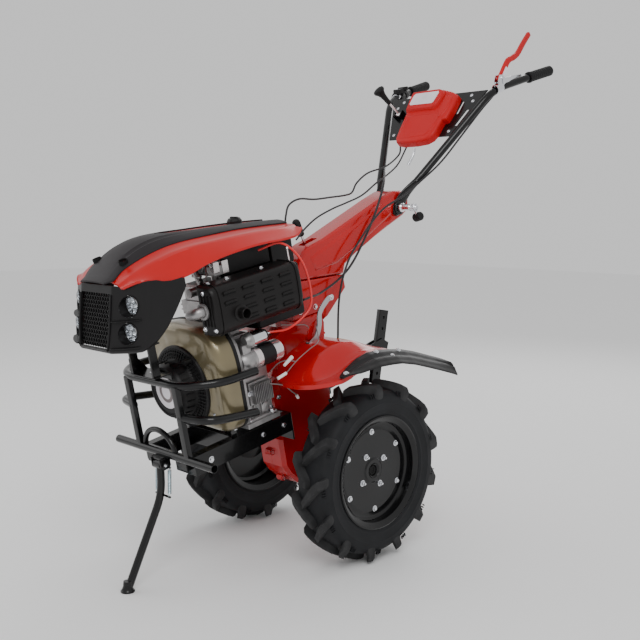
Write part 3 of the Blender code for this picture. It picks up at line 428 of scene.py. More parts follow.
def build_tyre(word, s):
    outside = [(153.5, 217), (163, 215), (169, 213), (176, 210.5), (179, 208), (183, 208), (186, 209),
               (204, 206), (207, 204.3), (210, 205.5), (221, 206), (231, 210), (238, 217), (242.5, 227),
               (246, 240), (248, 255)]
    half = [(r, WHEEL_MID - x) for r, x in outside]
    loop = [(r, s * (WHEEL_MID - d)) for r, d in half]
    loop += [(r, s * (WHEEL_MID + d)) for r, d in half[::-1]]
    loop += [(153.5, s * 299), (222, s * 311), (245, s * 288), (245, s * 240), (222, s * 217),
             (153.5, s * 229)]
    carcass = turned(loop, steps=96, ring=True)
    lugs, dashes = [], []
    for k in range(2 * LUG_PAIRS):
        out = 1 if k % 2 else -1
        start = math.pi * k / LUG_PAIRS
        rings = []
        for share, top, foot, wide, base in LUG_PATH:
            mid = start - LUG_LEAN * share
            ring = []
            for (across, radius), w in ((top, -wide), (top, wide), (foot, base), (foot, -base)):
                turn = mid + w / radius
                ring.append((s * (WHEEL_MID + out * across), radius * math.cos(turn),
                             radius * math.sin(turn)))
            rings.append(ring)
        lugs.append(soft(skin(rings), 1.6, limit=40))
        mid = start - LUG_LEAN * 0.5
        for shift in (-7.0, 0.0, 7.0):
            turn = mid + shift / 236
            rim = [(s * (WHEEL_MID + out * a), r * math.cos(turn + w / r), r * math.sin(turn + w / r))
                   for a, r, w in ((57.5, 243, -1.2), (57.5, 243, 1.2), (60.5, 231, 1.0),
                                   (60.5, 231, -1.0))]
            back = [(x - s * out * 5, y, z) for x, y, z in rim]
            dashes.append(skin([rim, back]))
    piece(f"tyre_carcass_{word}", [carcass] + dashes, TYRE, "wheels", [f"tyre_{word}"])
    piece(f"tyre_tread_{word}", lugs, LUG, "wheels")


def build_wheel(word, s):
    loop = [(17, 284), (17, 281), (138, 281), (147, 276), (149.5, 266), (149.5, 216), (158, 211),
            (165, 208), (169, 209.5), (169, 212), (162, 215), (153.5, 219), (153, 264), (153.5, 309),
            (162, 313), (169, 315), (169, 318), (165, 319.5), (158, 317), (149.5, 311), (149.5, 296),
            (147.5, 288), (142, 284.5), (136, 284), (128, 284), (124, 285.5), (120, 285.5), (100, 284.6),
            (40, 284.6), (36, 286.5), (33, 288.5), (23, 288.5), (21, 286)]
    rim = turned([(r, s * x) for r, x in loop], steps=96, ring=True)
    piece(f"rim_{word}", [rim], BLACK, "wheels", [f"wheel_rim_{word}"], angle=28)
    bolts = []
    for i in range(6):
        turn = math.radians(82.5 + 60 * i)
        bolts += hex_bolt((s * 285, 118 * math.cos(turn), 118 * math.sin(turn)), (s, 0, 0), 6.4, 5.5)
    for i in range(4):
        turn = math.radians(112.9 + 90 * i)
        spot = (s * 284.6, 54 * math.cos(turn), 54 * math.sin(turn))
        bolts += hex_bolt(spot, (s, 0, 0), 6.8, 7)
        bolts.append(rod(spot, (spot[0] + s * 12, spot[1], spot[2]), 3.6, steps=16))
    piece(f"rim_bolts_{word}", bolts, ZINC, "wheels")
    valve = rod((s * 284, -96, 96), (s * 300, -96, 96), 3.2, steps=16)
    piece(f"valve_{word}", [valve], RUBBER, "wheels")
    loop = [(15.6, 124), (22, 124), (24, 126), (24, 252), (28, 262), (70, 272), (70, 280.6),
            (15.6, 280.6)]
    hub = turned([(r, s * x) for r, x in loop], steps=48, ring=True)
    piece(f"hub_{word}", [hub], BLACK, "wheels", [f"wheel_hub_{word}"])
    # Painted shade: the axle end deep in the hub bore is coloured with the near-black recess shade.
    end = turned([(0, 0), (15.4, 0), (15.4, 3), (14.4, 4), (9, 4), (8.4, 2), (0, 1)],
                 (s * 279, 0, 0), (s, 0, 0), 6, edge=0.4)
    piece(f"axle_end_shade_{word}", [end], RECESS_SHADE, "wheels")


# ---------------------------------------------------------------- frame, guard and stand

def build_guard():
    outer = 11.5
    parts = [turned([(outer - 1.6, 40), (outer - 1.6, 0), (outer, 0), (outer, 456), (outer - 1.6, 456),
                     (outer - 1.6, 416)], (-228, -512, 203), (1, 0, 0), 32)]
    parts.append(swept(rounded([(-200, -304, 400), (-207, -430, 408), (-134, -508, 413), (134, -508, 413),
                                (207, -430, 408), (200, -304, 400)], 70), outer, 24))
    arch = [(-24 - 72 * math.cos(math.pi * i / 20), -505, 203 + 62 * math.sin(math.pi * i / 20))
            for i in range(21)]
    parts.append(swept(arch, 8, 20))
    parts.append(block(-24, 24, -540, -509, 193.8, 200))
    parts.append(turned([(0, -26), (9, -26), (9, -20), (6, -20), (6, 20), (9, 20), (9, 26), (0, 26)],
                        (0, -530, 178), (1, 0, 0), 24))
    for s in (1, -1):
        parts.append(block(s * 103, s * 125, -518, -502, 203, 412, 2.5))
        side = [(113, -508, 324), (212, -486, 322), (200, -324, 288)]
        parts.append(swept(rounded(flip(side, s), 75, 14), outer, 24))
        parts.append(block(s * 60, s * 95, -510, -496.4, 165, 204))
        ear = [(-544, 172), (-536, 163), (-520, 163), (-510, 170), (-510, 198), (-544, 198)]
        parts.append(prism(ear, *sorted((s * 17.5, s * 22)), "x", 0.8))
        parts.append(rod((s * 20, -522, 169), (s * 34, -522, 169), 3.2))
        for spot, way in (((s * 113, -502, 413), 9), ((s * 113, -510, 204), 10)):
            parts.append(weld_bead(spot, way))
    parts += [block(-74, 44, -522, -468, 424, 428), block(-74, 44, -470, -466, 408, 428),
              block(-70, -62, -520, -496, 426, 548), block(28, 36, -520, -496, 426, 548),
              prism([(-520, 426), (-466, 426), (-496, 470), (-520, 470)], -74, -70, "x", 0.8)]
    piece("guard", parts, BLACK, stands_for=["front_guard"])
    bolts = hex_bolt((-17, -486, 428), (0, 0, 1), 6, 5) + hex_bolt((22, -500, 428), (0, 0, 1), 5, 4)
    for s in (1, -1):
        bolts += hex_bolt((s * 23, -530, 178), (s, 0, 0), 5.5, 5)
    piece("guard_bolts", bolts, ZINC)


def weld_bead(spot, radius):
    """A small lumpy ring where two tubes are welded."""
    path = [Vector(spot) + Vector((math.cos(t) * radius, math.sin(t) * radius * 0.8, 0))
            for t in [2 * math.pi * i / 24 for i in range(25)]]
    sizes = [1.6 + 0.5 * math.sin(i * 2.4) for i in range(25)]
    return swept(path, sizes, 8)


def build_stand():
    up = Vector((0, math.sin(PITCH), math.cos(PITCH)))
    foot = Vector((0, -706, 0))
    foot.z = (-270 - foot.y * up.y) / up.z
    leg = rounded([(0, -530, 178), (0, -544, 92), tuple(foot + up * 9 + Vector((0, 3, 0)))], 50, 14)
    parts = [turned([(6.6, -15), (15, -15), (15, 15), (6.6, 15)], (0, -530, 178), (1, 0, 0), 32,
                    ring=True, edge=0.8),
             swept(leg, 11, 24),
             turned([(0, 0), (17, 0), (19.5, 1), (19.5, 4), (17, 6), (12.5, 16), (11.6, 30), (0, 30)],
                    foot, up, 32),
             rod((-34, -540, 88), (34, -540, 88), 3.2)]
    piece("stand", parts, BLACK, "stand", ["stand_leg"])
    for word, s in SIDES:
        top, low = Vector((s * 29.5, -522.5, 165)), Vector((s * 29.5, -538, 93.5))
        way = (low - top).normalized()
        spring = [coil(top + way * 3, low - way * 3, 4.6, 0.9, 26, 14, 6),
                  swept(curve_through([top + Vector((0, 0, 9)), top + Vector((0, 3.6, 4)), top + way * 3,
                                       top + way * 6], 5), 1.0, 8),
                  swept(curve_through([low - Vector((0, 0, 9)), low - Vector((0, 3.6, 4)), low - way * 3,
                                       low - way * 6], 5), 1.0, 8)]
        obj = piece(f"spring_{word}", spring, SPRING, stands_for=[f"stand_spring_{word}"], rides=False)
        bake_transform(obj)


# ---------------------------------------------------------------- engine

SHROUD = [(-140, 240), (140, 240), (166, 252), (176, 275), (176, 432), (166, 480), (138, 517),
          (96, 534), (-40, 540), (-110, 528), (-152, 490), (-174, 430), (-176, 275), (-166, 252)]


def reach(outline, turn):
    """How far the outline is from the crank axis in one direction."""
    centre = Vector((0, CRANK_Z))
    way = Vector((math.cos(turn), math.sin(turn)))
    best = 0.0
    for a, b in zip(outline, outline[1:] + outline[:1]):
        a, b = Vector(a) - centre, Vector(b) - centre
        side = b - a
        cross = way.x * side.y - way.y * side.x
        if abs(cross) < 1e-9:
            continue
        travel = (a.x * side.y - a.y * side.x) / cross
        along = (a.x * way.y - a.y * way.x) / cross
        if travel > 0 and -1e-6 <= along <= 1 + 1e-6:
            best = max(best, travel)
    return best


def shroud_ring(count, inward, share, circle, y, pressed=0.0):
    """Points round the shroud: its outline drawn in, blended to a circle, with pressed lobes."""
    ring = []
    for i in range(count):
        turn = 2 * math.pi * i / count
        nearby = [reach(SHROUD, turn + d) for d in (-0.09, -0.045, 0, 0.045, 0.09)]
        radius = (sum(nearby) / len(nearby) - inward) * (1 - share) + circle * share
        lobe = 0.0
        for at, wide in ((0.0, 0.5), (1.2, 0.4), (2.3, 0.4), (3.5, 0.4), (4.6, 0.4)):
            off = abs((turn - at + math.pi) % (2 * math.pi) - math.pi)
            lobe = max(lobe, smooth_step((wide - off) / 0.12))
        ring.append((radius * math.cos(turn), y + pressed * lobe, CRANK_Z + radius * math.sin(turn)))
    return ring


def build_shroud():
    count = 120
    steps = [(0, 0, -336, 0), (0, 0, -372, 0), (1.5, 0, -382, 0), (6, 0, -391, 0), (13, 0, -398, 0),
             (21, 0.03, -402, 0.6), (30, 0.25, -403.5, 2.2), (30, 0.6, -404.5, 2.2),
             (30, 0.86, -405.5, 0.6),
             (30, 1, -407, 0)]
    rings = [shroud_ring(count, inward, share, 119, y, pressed) for inward, share, y, pressed in steps]
    back = [(0, 1, 116, -407.5), (0, 1, 114.5, -405), (0, 1, 114.5, -392), (0, 1, 118, -392),
            (34, 0, 0, -395), (5, 0, 0, -380), (4, 0, 0, -336)]
    rings += [shroud_ring(count, *step) for step in back]
    piece("shroud", [skin(rings, loop=True)], KHAKI, stands_for=["fan_shroud"], angle=50)
    seal = [shroud_ring(count, inward, 0, 0, y) for inward, y in
            ((-1.5, -346), (-2.5, -344), (-2.5, -337), (-1.5, -335.2), (3, -335.2), (3, -346))]
    piece("shroud_seal", [skin(seal, loop=True)], BLACK_PLASTIC)
    bolts = bolt_heads([((118, -402, 292), (0.2, -1, -0.3)), ((-118, -402, 292), (-0.2, -1, -0.3)),
                        ((147, -388, 465), (0.7, -1, 0.6)), ((138, -360, 243), (0.3, -0.2, -1)),
                        ((-147, -388, 465), (-0.7, -1, 0.6))], 6, 5)
    piece("shroud_bolts", bolts, ZINC)


def build_recoil():
    centre = (0, 0, CRANK_Z)
    profile = [(0, -466), (48, -466), (50, -467.5), (62, -467.5), (64, -466), (66, -469), (72, -468),
               (76, -463), (79, -455), (81, -430), (84, -422), (92, -417), (113, -411), (113, -403.4),
               (0, -403.4)]
    drum = turned(profile, centre, (0, 1, 0), 72)
    deep = Vector((0, 6, 0))
    ribs = []
    for i in range(60):
        turn = 2 * math.pi * i / 60
        away = Vector((math.cos(turn), 0, math.sin(turn)))
        side = Vector((-math.sin(turn), 0, math.cos(turn)))
        points = [Vector(centre) + away * r + Vector((0, y, 0)) for r, y in
                  ((83, -425), (92, -420.5), (112, -414.5))]
        ribs.append(skin([[p - side * 1.5, p + side * 1.5, p + side * 1.5 + deep, p - side * 1.5 + deep]
                          for p in points]))
    for r, y in ((90, -421.5), (99, -418.5), (107, -416)):
        ribs.append(turned([(r - 1.3, y), (r + 1.3, y), (r + 1.3, y + 6), (r - 1.3, y + 6)], centre,
                           (0, 1, 0), 72, ring=True))
    ribs.append(turned([(110, -415.5), (116.5, -414), (117.5, -412), (117.5, -404), (110, -404)], centre,
                       (0, 1, 0), 72, ring=True))
    for i in range(24):
        turn = 2 * math.pi * i / 24
        away = Vector((math.cos(turn), 0, math.sin(turn)))
        side = Vector((-math.sin(turn), 0, math.cos(turn)))
        base = Vector(centre) + away * 79.5
        ring = [base - side * 1.4, base + side * 1.4, base + side * 1.4 + away * 3, base - side * 1.4
                + away * 3]
        ribs.append(skin([[p + Vector((0, y, 0)) for p in ring] for y in (-455, -432)]))
    ribs.append(turned([(8, -436), (8, -412)], (64, 0, 448), (0, 1, 0), 16))
    piece("recoil_cover", [drum] + ribs, BLACK_PLASTIC, stands_for=["recoil_housing"])
    label = turned([(0, -468.2), (47, -468.2), (47.6, -467.8), (47.6, -466), (0, -466)], centre,
                   (0, 1, 0), 64)
    ring = turned([(20, -468.7), (30, -468.7), (30, -468), (20, -468)], centre, (0, 1, 0), 64, ring=True)
    piece("recoil_label", [label], STICKER)
    piece("recoil_label_ring", [ring], GREY_WIRE)
    handle = [rod((20, -452, 452), (56, -452, 458), 6.5, steps=20, edge=2),
              swept(curve_through([(38, -450, 452), (38, -440, 446), (40, -426, 440)]), 1.8, 10)]
    piece("recoil_handle", handle, RUBBER)


def build_muffler():
    box = [(132, 522), (172, 521), (186, 523), (196, 530), (201, 541), (203, 556), (203.5, 600),
           (202, 628), (198, 643), (190, 652), (178, 656.5), (132, 658)]
    rows = [(-405, 11), (-403.5, 5), (-399, 1.5), (-392, 0), (-104, 0), (-97, 2), (-93, 6), (-92, 11)]
    shell = skin([[(x, y, z) for x, z in inset(box, d)] for y, d in rows])
    strap = [skin([[(x, y, z) for x, z in inset(box, d)] for y, d in
                   ((y0, 0.5), (y0, -2.2), (y0 + 5, -2.2), (y0 + 5, 0.5))]) for y0 in (-386, -112)]
    lug = [block(118, 136, -300, -292, 560, 620)]
    spout = turned([(0, 190), (23, 190), (23, 205), (20, 207), (15.5, 207.5), (15.5, 226), (14.5, 227),
                    (12.8, 226), (12.8, 195), (0, 195)], (0, -322, 568), (1, 0, 0), 40)
    # Each louvre and front vent gets a near-black block in its opening: painted shade for the dark slot
    # behind it.
    louvres, slot_shades = [], []
    for row in range(4):
        for column in range(4):
            y, z = -350 + column * 66, 632 - row * 27
            if row > 1 and column == 0:
                continue
            hood = [(y - 21, z + 3), (y - 17, z + 5.5), (y + 17, z + 5.5), (y + 21, z + 3), (y + 21, z),
                    (y - 21, z)]
            rim = [(y - 20, z + 4.5), (y - 17, z + 6), (y + 17, z + 6), (y + 20, z + 4.5),
                   (y + 21, z - 1), (y - 21, z - 1)]
            louvres.append(skin([[(201, a, b) for a, b in rim], [(204.5, a, b) for a, b in rim],
                                 [(206.3, a, b) for a, b in hood]]))
            slot_shades.append(block(200, 204.1, y - 19, y + 19, z - 4.5, z - 0.8, 0.4))
            louvres.append(block(200, 204.9, y - 21, y + 21, z - 6.4, z - 4.8, 0.4))
    for column in range(4):
        x = 144 + column * 13
        slot_shades.append(block(x, x + 4, -405.6, -402, 552, 632, 0.4))
        louvres.append(block(x + 5, x + 8, -407.5, -402, 550, 634, 0.8))
    piece("exhaust_box", [shell, spout] + strap + lug + louvres, HEATPROOF, stands_for=["muffler"])
    # Painted shade: a near-black disc inside the spout's mouth.
    slot_shades.append(turned([(0, 200), (12.7, 200), (12.7, 203), (0, 203)], (0, -322, 568), (1, 0, 0), 32))
    piece("exhaust_slot_shade", slot_shades, RECESS_SHADE)
    front, up = (0, -1, 0), (0, 0, 1)
    bolts = bolt_heads([((146, -404, 541), front), ((190, -403, 541), front), ((160, -404, 640), front),
                        ((150, -376, 658), up), ((158, -318, 658), up), ((158, -196, 658), up)], 5, 4.5)
    piece("exhaust_bolts", bolts, ZINC)
    pipe = [swept(rounded([(82, -300, 566), (98, -352, 566), (108, -426, 580), (160, -432, 592),
                           (160, -405.6, 592)], 26), 14, 24),
            turned([(15, -10), (22, -10), (22, -3), (15, -3)], (160, -405.6, 592), (0, 1, 0), 32,
                   ring=True, edge=0.8), block(66.4, 90, -318, -284, 550, 584, 3)]
    piece("exhaust_pipe", pipe, CAST, stands_for=["exhaust_manifold"])


def build_starter():
    axis = (158, 0, 421)
    nose = [turned([(0, -323.4), (20, -323.4), (25, -318), (28, -308), (28.5, -290), (30.5, -288),
                    (30.5, -278), (0, -278)], axis, (0, 1, 0), 48),
            block(125.4, 150, -323.4, -311, 398, 444, 3),
            turned([(0, -302), (14, -302), (20, -296), (22, -286), (22, -280), (0, -280)], (165, 0, 476),
                   (0, 1, 0), 40), block(146, 172, -316, -284, 430, 470, 6),
            rod((128, -318, 462), (128, -306, 462), 9, steps=24)]
    piece("starter_nose", nose, CAST, stands_for=["starter_motor"])
    drum = [turned([(0, -279), (30, -279), (30, -258), (0, -258)], axis, (0, 1, 0), 48, edge=0.8),
            turned([(0, -212), (30, -212), (30, -188), (28, -182), (20, -178), (12, -176), (0, -176)],
                   axis, (0, 1, 0), 48, edge=0.6)]
    piece("starter_ends", drum, PEARL)
    band = turned([(0, -258.5), (30.4, -258.5), (30.8, -257), (30.8, -213), (30.4, -211.5), (0, -211.5)],
                  axis, (0, 1, 0), 48)
    piece("starter_band", [band], BLACK_PLASTIC)
    can = turned([(0, -281), (21, -281), (21, -237), (19.5, -233), (0, -232)], (165, 0, 476), (0, 1, 0),
                 40, edge=0.6)
    piece("solenoid_can", [can], ZINC)
    studs = [rod((158, -234, 482), (158, -214, 482), 3.4, steps=16),
             rod((174, -234, 480), (174, -216, 480), 3.4, steps=16)]
    for x, z in ((158, 482), (174, 480)):
        studs += hex_bolt((x, -226, z), (0, 1, 0), 5, 4)
    studs += hex_bolt((166, -298, 441), (0.3, -1, 0), 4, 4)
    piece("starter_studs", studs, ZINC)
    cap = turned([(0, -234), (17, -234), (16, -226), (0, -226)], (165, 0, 476), (0, 1, 0), 40)
    piece("solenoid_cap", [cap], BLACK_PLASTIC)


def build_engine_details():
    parts = [block(124.5, 132, -330 + 26 * i, -326 + 26 * i, 236, 280, 1.0) for i in range(5)]
    parts += [block(124, 138, -330, -296, 350, 392, 4), block(124, 133, -296, -214, 352, 388, 3),
              turned([(0, 0), (15, 0), (15, 7), (11, 9), (0, 9)], (125, -236, 262), (1, 0, 0), 32),
              turned([(0, 0), (10, 0), (10, 12), (0, 12)], (125, -306, 320), (1, 0, 0), 24),
              block(124, 142, -322, -206, 236, 246, 2), block(124, 130, -334, -322, 246, 460, 1.5)]
    for z in (466, 482, 498, 514, 530):
        parts.append(block(-68, 68, -323.6, -209, z - 0.4, z + 3.6, 1.2))
    piece("crankcase_details", parts, CAST)
    bolts = []
    for y, z in ((-326, 270), (-326, 336), (-318, 402), (-212, 252), (-212, 330), (-262, 400)):
        bolts += hex_bolt((130 if y < -320 else 125, y, z), (1, 0, 0), 4.6, 4)
    for y in (-305, -222):
        bolts += hex_bolt((138, y, 246), (0, 0, 1), 7, 6)
    piece("crankcase_bolts", bolts, ZINC)
    fins = [block(125.4, 137, -290, -216, 282, 348, 2)]
    for i in range(11):
        y = -284 + 6.2 * i
        fins.append(prism([(136, y), (154, y + 0.7), (154, y + 2.3), (136, y + 3.2)], 287, 343, "z", 0.5))
    piece("regulator", fins, CAST, stands_for=["voltage_regulator"])
    ends = bolt_heads([((137, y, 318), (1, 0, 0)) for y in (-288, -218)], 6, 5)
    piece("regulator_bolts", ends, ZINC)
    pump = [block(60, 92, -352, -322, 600, 640, 4), rod((70, -352, 628), (70, -384, 628), 12, steps=24),
            swept(curve_through([(84, -340, 640), (90, -330, 668), (70, -316, 690), (48, -310, 670)]),
                  3.2, 12),
            block(92, 124, -330, -300, 664, 690, 2), rod((104, -318, 640), (104, -318, 700), 6, steps=20)]
    piece("injection_pump", pump, CAST)
    plates = [block(96, 100, -322, -284, 650, 708, 1), block(108, 126, -330, -310, 672, 702, 2),
              block(112, 122, -298, -276, 664, 700, 2)]
    piece("injector_plates", plates, PEARL)


# ---------------------------------------------------------------- hood and lamps

HOOD = (
    # y, crown z, band-edge half width, band-edge z, shoulder z, side half width, side z
    (-602, 722, 74, 713, 708, 112, 700),
    (-575, 748, 80, 735, 727, 152, 713),
    (-535, 772, 86, 750, 742, 163, 706),
    (-490, 788, 90, 761, 752, 168, 698),
    (-440, 794, 90, 768, 759, 170, 700),
    (-380, 791, 88, 770, 761, 170, 713),
    (-300, 783, 86, 767, 758, 170, 721),
    (-200, 773, 84, 762, 753, 170, 723),
    (-100, 762, 82, 752, 745, 168, 716),
    (-45, 755, 80, 745, 740, 160, 716),
    (-4, 749, 78, 740, 737, 138, 728),
)


def finer(rows):
    """The table's rows with smooth rows in between."""
    halves = []
    for part in (0, 3):
        halves.append(curve_through([row[part:part + 3] for row in rows], 5))
    tails = curve_through([(row[6], 0, 0) for row in rows], 5)
    return [(*a, *b, c[0]) for a, b, c in zip(*halves, tails)]


def hood_half(row):
    """Half of the hood's cross-section, from the crown out to the side edge."""
    y, crown, band, band_z, shoulder_z, side, side_z = row
    wide = side - band
    level = [(0, crown), (band * 0.35, crown * 0.92 + band_z * 0.08),
             (band * 0.62, crown * 0.72 + band_z * 0.28),
             (band * 0.85, crown * 0.36 + band_z * 0.64), (band, band_z),
             (band + wide * 0.16, shoulder_z + 3.2),
             (band + wide * 0.36, shoulder_z + 2), (band + wide * 0.46, shoulder_z),
             (band + wide * 0.56, shoulder_z - 4.5),
             (band + wide * 0.7, (shoulder_z * 0.66 + side_z * 0.34) - 2.5),
             (band + wide * 0.86, (shoulder_z * 0.36 + side_z * 0.64) - 1), (side - 2, side_z + 4),
             (side, side_z)]
    return [(x, y, z) for x, z in level]


def build_hood():
    rings = []
    for row in finer(HOOD):
        top = hood_half(row)
        low = [(x * 0.982, y, z - 3.2) for x, y,
               z in top[:-1]] + [(top[-1][0] - 3, top[-1][1], top[-1][2])]
        full = [(-x, y, z) for x, y, z in top[:0:-1]] + top
        under = low[::-1] + [(-x, y, z) for x, y, z in low[1:]]
        rings.append(full + under)
    neck = [(0, 690), (24, 690), (24, 810), (0, 810)]
    cover = carved(skin(rings), [turned(neck, (0, -136, 0), (0, 0, 1), 40)])
    piece("hood", [cover], RED_PLASTIC, stands_for=["hood_cover"], angle=24)
    edge = [hood_half(row)[-1] for row in finer(HOOD)]
    hem = [swept([(s * (x - 2), y, z) for x, y, z in edge], 2.0, 10) for s in (1, -1)]
    piece("hood_hem", hem, RED_PLASTIC)

    rows = [(-622, 716, 60, 712, 709, 80, 705), (-612, 720, 68, 714, 709, 80, 705),
            (-600, 727, 75, 717, 709, 80, 705)] + list(HOOD[1:])
    rings = []
    for y, crown, band, band_z, *_ in finer(rows):
        groove = smooth_step((y + 590) / 60) * smooth_step((-300 - y) / 120) * 2.2
        half = [(0, crown), (band * 0.3, crown * 0.93 + band_z * 0.07),
                (band * 0.5, crown * 0.82 + band_z * 0.18),
                (band * 0.56, crown * 0.76 + band_z * 0.24 - groove),
                (band * 0.64, crown * 0.68 + band_z * 0.32 - groove),
                (band * 0.7, crown * 0.62 + band_z * 0.38), (band * 0.9, crown * 0.25 + band_z * 0.75),
                (band - 3, band_z + 1.2)]
        top = [(x, y, z + 4.6) for x, z in half[:-1]] + [(half[-1][0], y, half[-1][1] + 3.2)]
        low = [(x, y, z + 0.6) for x, z in half]
        rings.append([(-x, yy, z) for x, yy, z in top[:0:-1]] + top + low[::-1]
                     + [(-x, yy, z) for x, yy, z in low[1:]])
    tongue = [(0, -412), (18, -398), (27, -372), (33, -300), (33, 20), (-33, 20), (-33, -300),
              (-27, -372), (-18, -398)]
    cuts = [prism(tongue, 650, 850, "z", 0), turned(neck, (0, -136, 0), (0, 0, 1), 40)]
    wells = [((s * 62, -556, 746), (0.1 * s, -0.2, 1)) for s in (1, -1)]
    cuts += [turned([(0, 0), (11, 0), (11, 60), (0, 60)], place, way, 32) for place, way in wells]
    piece("band", [carved(skin(rings), cuts)], BAND, stands_for=["hood_band"], angle=22)
    # Painted shade: near-black linings inside the screw wells stand for the shade in the hollows.
    well_shades = [turned([(10.6, -2), (10.6, 16.5), (12, 17), (12, -3), (0, -3), (0, -2)], place, way, 32)
            for place, way in wells]
    piece("band_well_shade", well_shades, RECESS_SHADE)
    piece("band_screws", bolt_heads(wells, 4.6, 5), ZINC)


def front_face(x, z):
    """Where the nose's front surface is at this place across and up."""
    front, edge = -640 + (z - 600) * NOSE_LEAN, -595 + (z - 600) * NOSE_LEAN
    x = abs(x)
    return front if x < 74 else front + (edge - front) * min(1, (x - 74) / 99)


NOSE_LEAN = 0.27
LAMP_X, LAMP_RADIUS, LAMP_DEPTH = 122, 27.6, 11
LAMPS = ((656, -600), (590, -618))  # z, and y where the lamp's axis meets the nose
NOSE_STEPS = (0, 0.02, 0.05, 0.1, 0.25, 0.4, 0.55, 0.7, 0.85, 0.95, 1)
NOSE = (
    # x, y at z 600, lean back with height, foot z, top z; from the middle round to the rear edge
    (0, -640, 0.27, 541, 708), (40, -640, 0.27, 541, 708), (72, -640, 0.27, 541, 708),
    (78, -638, 0.27, 541, 707), (100, -628, 0.27, 541, 703), (122, -618, 0.27, 541, 706),
    (145, -608, 0.27, 542, 712), (158, -601, 0.27, 543, 713), (166, -594, 0.26, 545, 714),
    (169.5, -583, 0.24, 548, 713), (170, -560, 0.18, 557, 711), (170, -530, 0.1, 583, 703),
    (170, -500, 0.03, 617, 699), (170, -475, 0, 648, 699), (169, -456, 0, 672, 700),
)


def finer_columns():
    """The nose's columns from its left rear edge round the front to its right rear edge."""
    half = []
    for a, b in zip(NOSE, NOSE[1:]):
        half += [[p + (q - p) * k / 3 for p, q in zip(a, b)] for k in range(3)]
    half.append(list(NOSE[-1]))
    return half[::-1] + [[-c[0]] + c[1:] for c in half[1:]]


def wedge(s):
    """The space in front of one lamp face, which trims what would stand proud of it."""
    rings = []
    for z in (480, 760):
        lean = (z - 600) * NOSE_LEAN
        rings.append([(s * a, y + lean, z) for a, y in
                      ((60, -800), (240, -800), (240, -566), (173, -597), (74, -642), (60, -642))])
    return skin(rings)


def build_nose():
    outer = []
    for x, y, lean, foot, top in finer_columns():
        outer.append([])
        for t in NOSE_STEPS:
            z = foot + (top - foot) * t
            outer[-1].append(Vector((x, y + lean * (z - 600), z)))
    rings = []
    for i, line in enumerate(outer):
        ahead, behind = outer[min(i + 1, len(outer) - 1)], outer[max(i - 1, 0)]
        lip, back = [], []
        for here, a, b, t in zip(line, ahead, behind, NOSE_STEPS):
            inward = Vector((a.y - b.y, b.x - a.x, 0)).normalized()
            curl = max(0.0, 1 - t / 0.06) ** 2
            lip.append(here + inward * 7 * curl)
            back.append(here + inward * (4 + 5 * curl))
        rings.append(lip + back[::-1])
    cuts = []
    mouth = [(-71, 688), (71, 688), (67, 562), (60, 553), (-60, 553), (-67, 562)]
    cuts.append(prism(mouth, -720, -590, "y", 0))
    for s in (1, -1):
        for z, y in LAMPS:
            cuts.append(rod((s * LAMP_X, y - 90, z), (s * LAMP_X, y + 40, z), LAMP_RADIUS, steps=56,
                            edge=0))
    plan = [(-160, -560), (-160, -598), (-76, -641), (76, -641), (160, -598), (160, -560)]
    piece("nose", [carved(skin(rings), cuts), prism(plan, 551, 555, "z", 0.6)], BLACK_PLASTIC,
          stands_for=["lamp_housing"], angle=22)


def build_nose_trims():
    """The brow under each lamp, the lamp tubes, and the frame of the grille."""
    trims = []
    for s in (1, -1):
        for z in (622, 556):
            path = []
            for x in (80, 100, 120, 140, 158):
                path.append((s * x, front_face(x, z) - 3 + (x - 80) * 0.02, z + (x - 80) * 0.03))
            rings = []
            for i, (x, y, zz) in enumerate(path):
                deep = 9 * math.sin(math.pi * (i + 0.6) / 5.2) + 2
                rings.append([(x, y + 4, zz + 2), (x, y - deep, zz + 0.8), (x, y - deep, zz - 0.8),
                              (x, y + 4, zz - 4)])
            trims.append(soft(skin(rings), 0.7, limit=40))
        for z, y in LAMPS:
            tube = turned([(25.6, -60), (27.2, -60), (27.2, 22), (25.6, 22)], (s * LAMP_X, y, z),
                          (0, 1, 0), 56, ring=True)
            trims.append(carved(tube, [wedge(s)]))
    for x in (-72, 72):
        path = [(x * (1 if z > 560 else 0.93), front_face(70, z) - 1.5, z) for z in (553, 600, 650, 686)]
        trims.append(swept(curve_through(path, 6), 3.0, 12))
    sill = [(x, front_face(60, 552) - 1.5, 552 - (1 if abs(x) > 50 else 0)) for x in range(-66, 67, 12)]
    trims.append(swept(sill, 3.0, 12))
    piece("nose_trims", trims, BLACK_PLASTIC)


def build_lamps():
    for word, s in SIDES:
        bowls, lenses, chips = [], [], []
        for z, y in LAMPS:
            y += LAMP_DEPTH
            centre = (s * LAMP_X, y, z)
            bowls.append(turned([(0, 14), (10, 12), (20, 4), (24.5, -5), (25.3, -5), (25.3, 18), (0, 18)],
                                centre, (0, 1, 0), 40))
            for i in range(7):
                turn = 2 * math.pi * i / 6
                r = 0 if i == 6 else 14.5
                spot = (s * LAMP_X + r * math.cos(turn), y, z + r * math.sin(turn))
                chips.append(turned([(0, 10), (1.6, 9.6), (4, 4), (6.4, -3.5), (7.1, -3.5), (7.1, 8),
                                     (0, 11)], spot,
                                    (0, 1, 0), 16))
            lenses.append(turned([(0, -9.5), (12, -9), (20, -7.6), (24.8, -5.6), (24.8, -4), (0, -5.6)],
                                 centre, (0, 1, 0), 48))
        piece(f"lamp_bowls_{word}", bowls, STEEL, stands_for=[f"headlamp_{word}"])
        piece(f"lamp_reflectors_{word}", chips, ZINC)
        piece(f"lamp_lenses_{word}", lenses, GLASS)


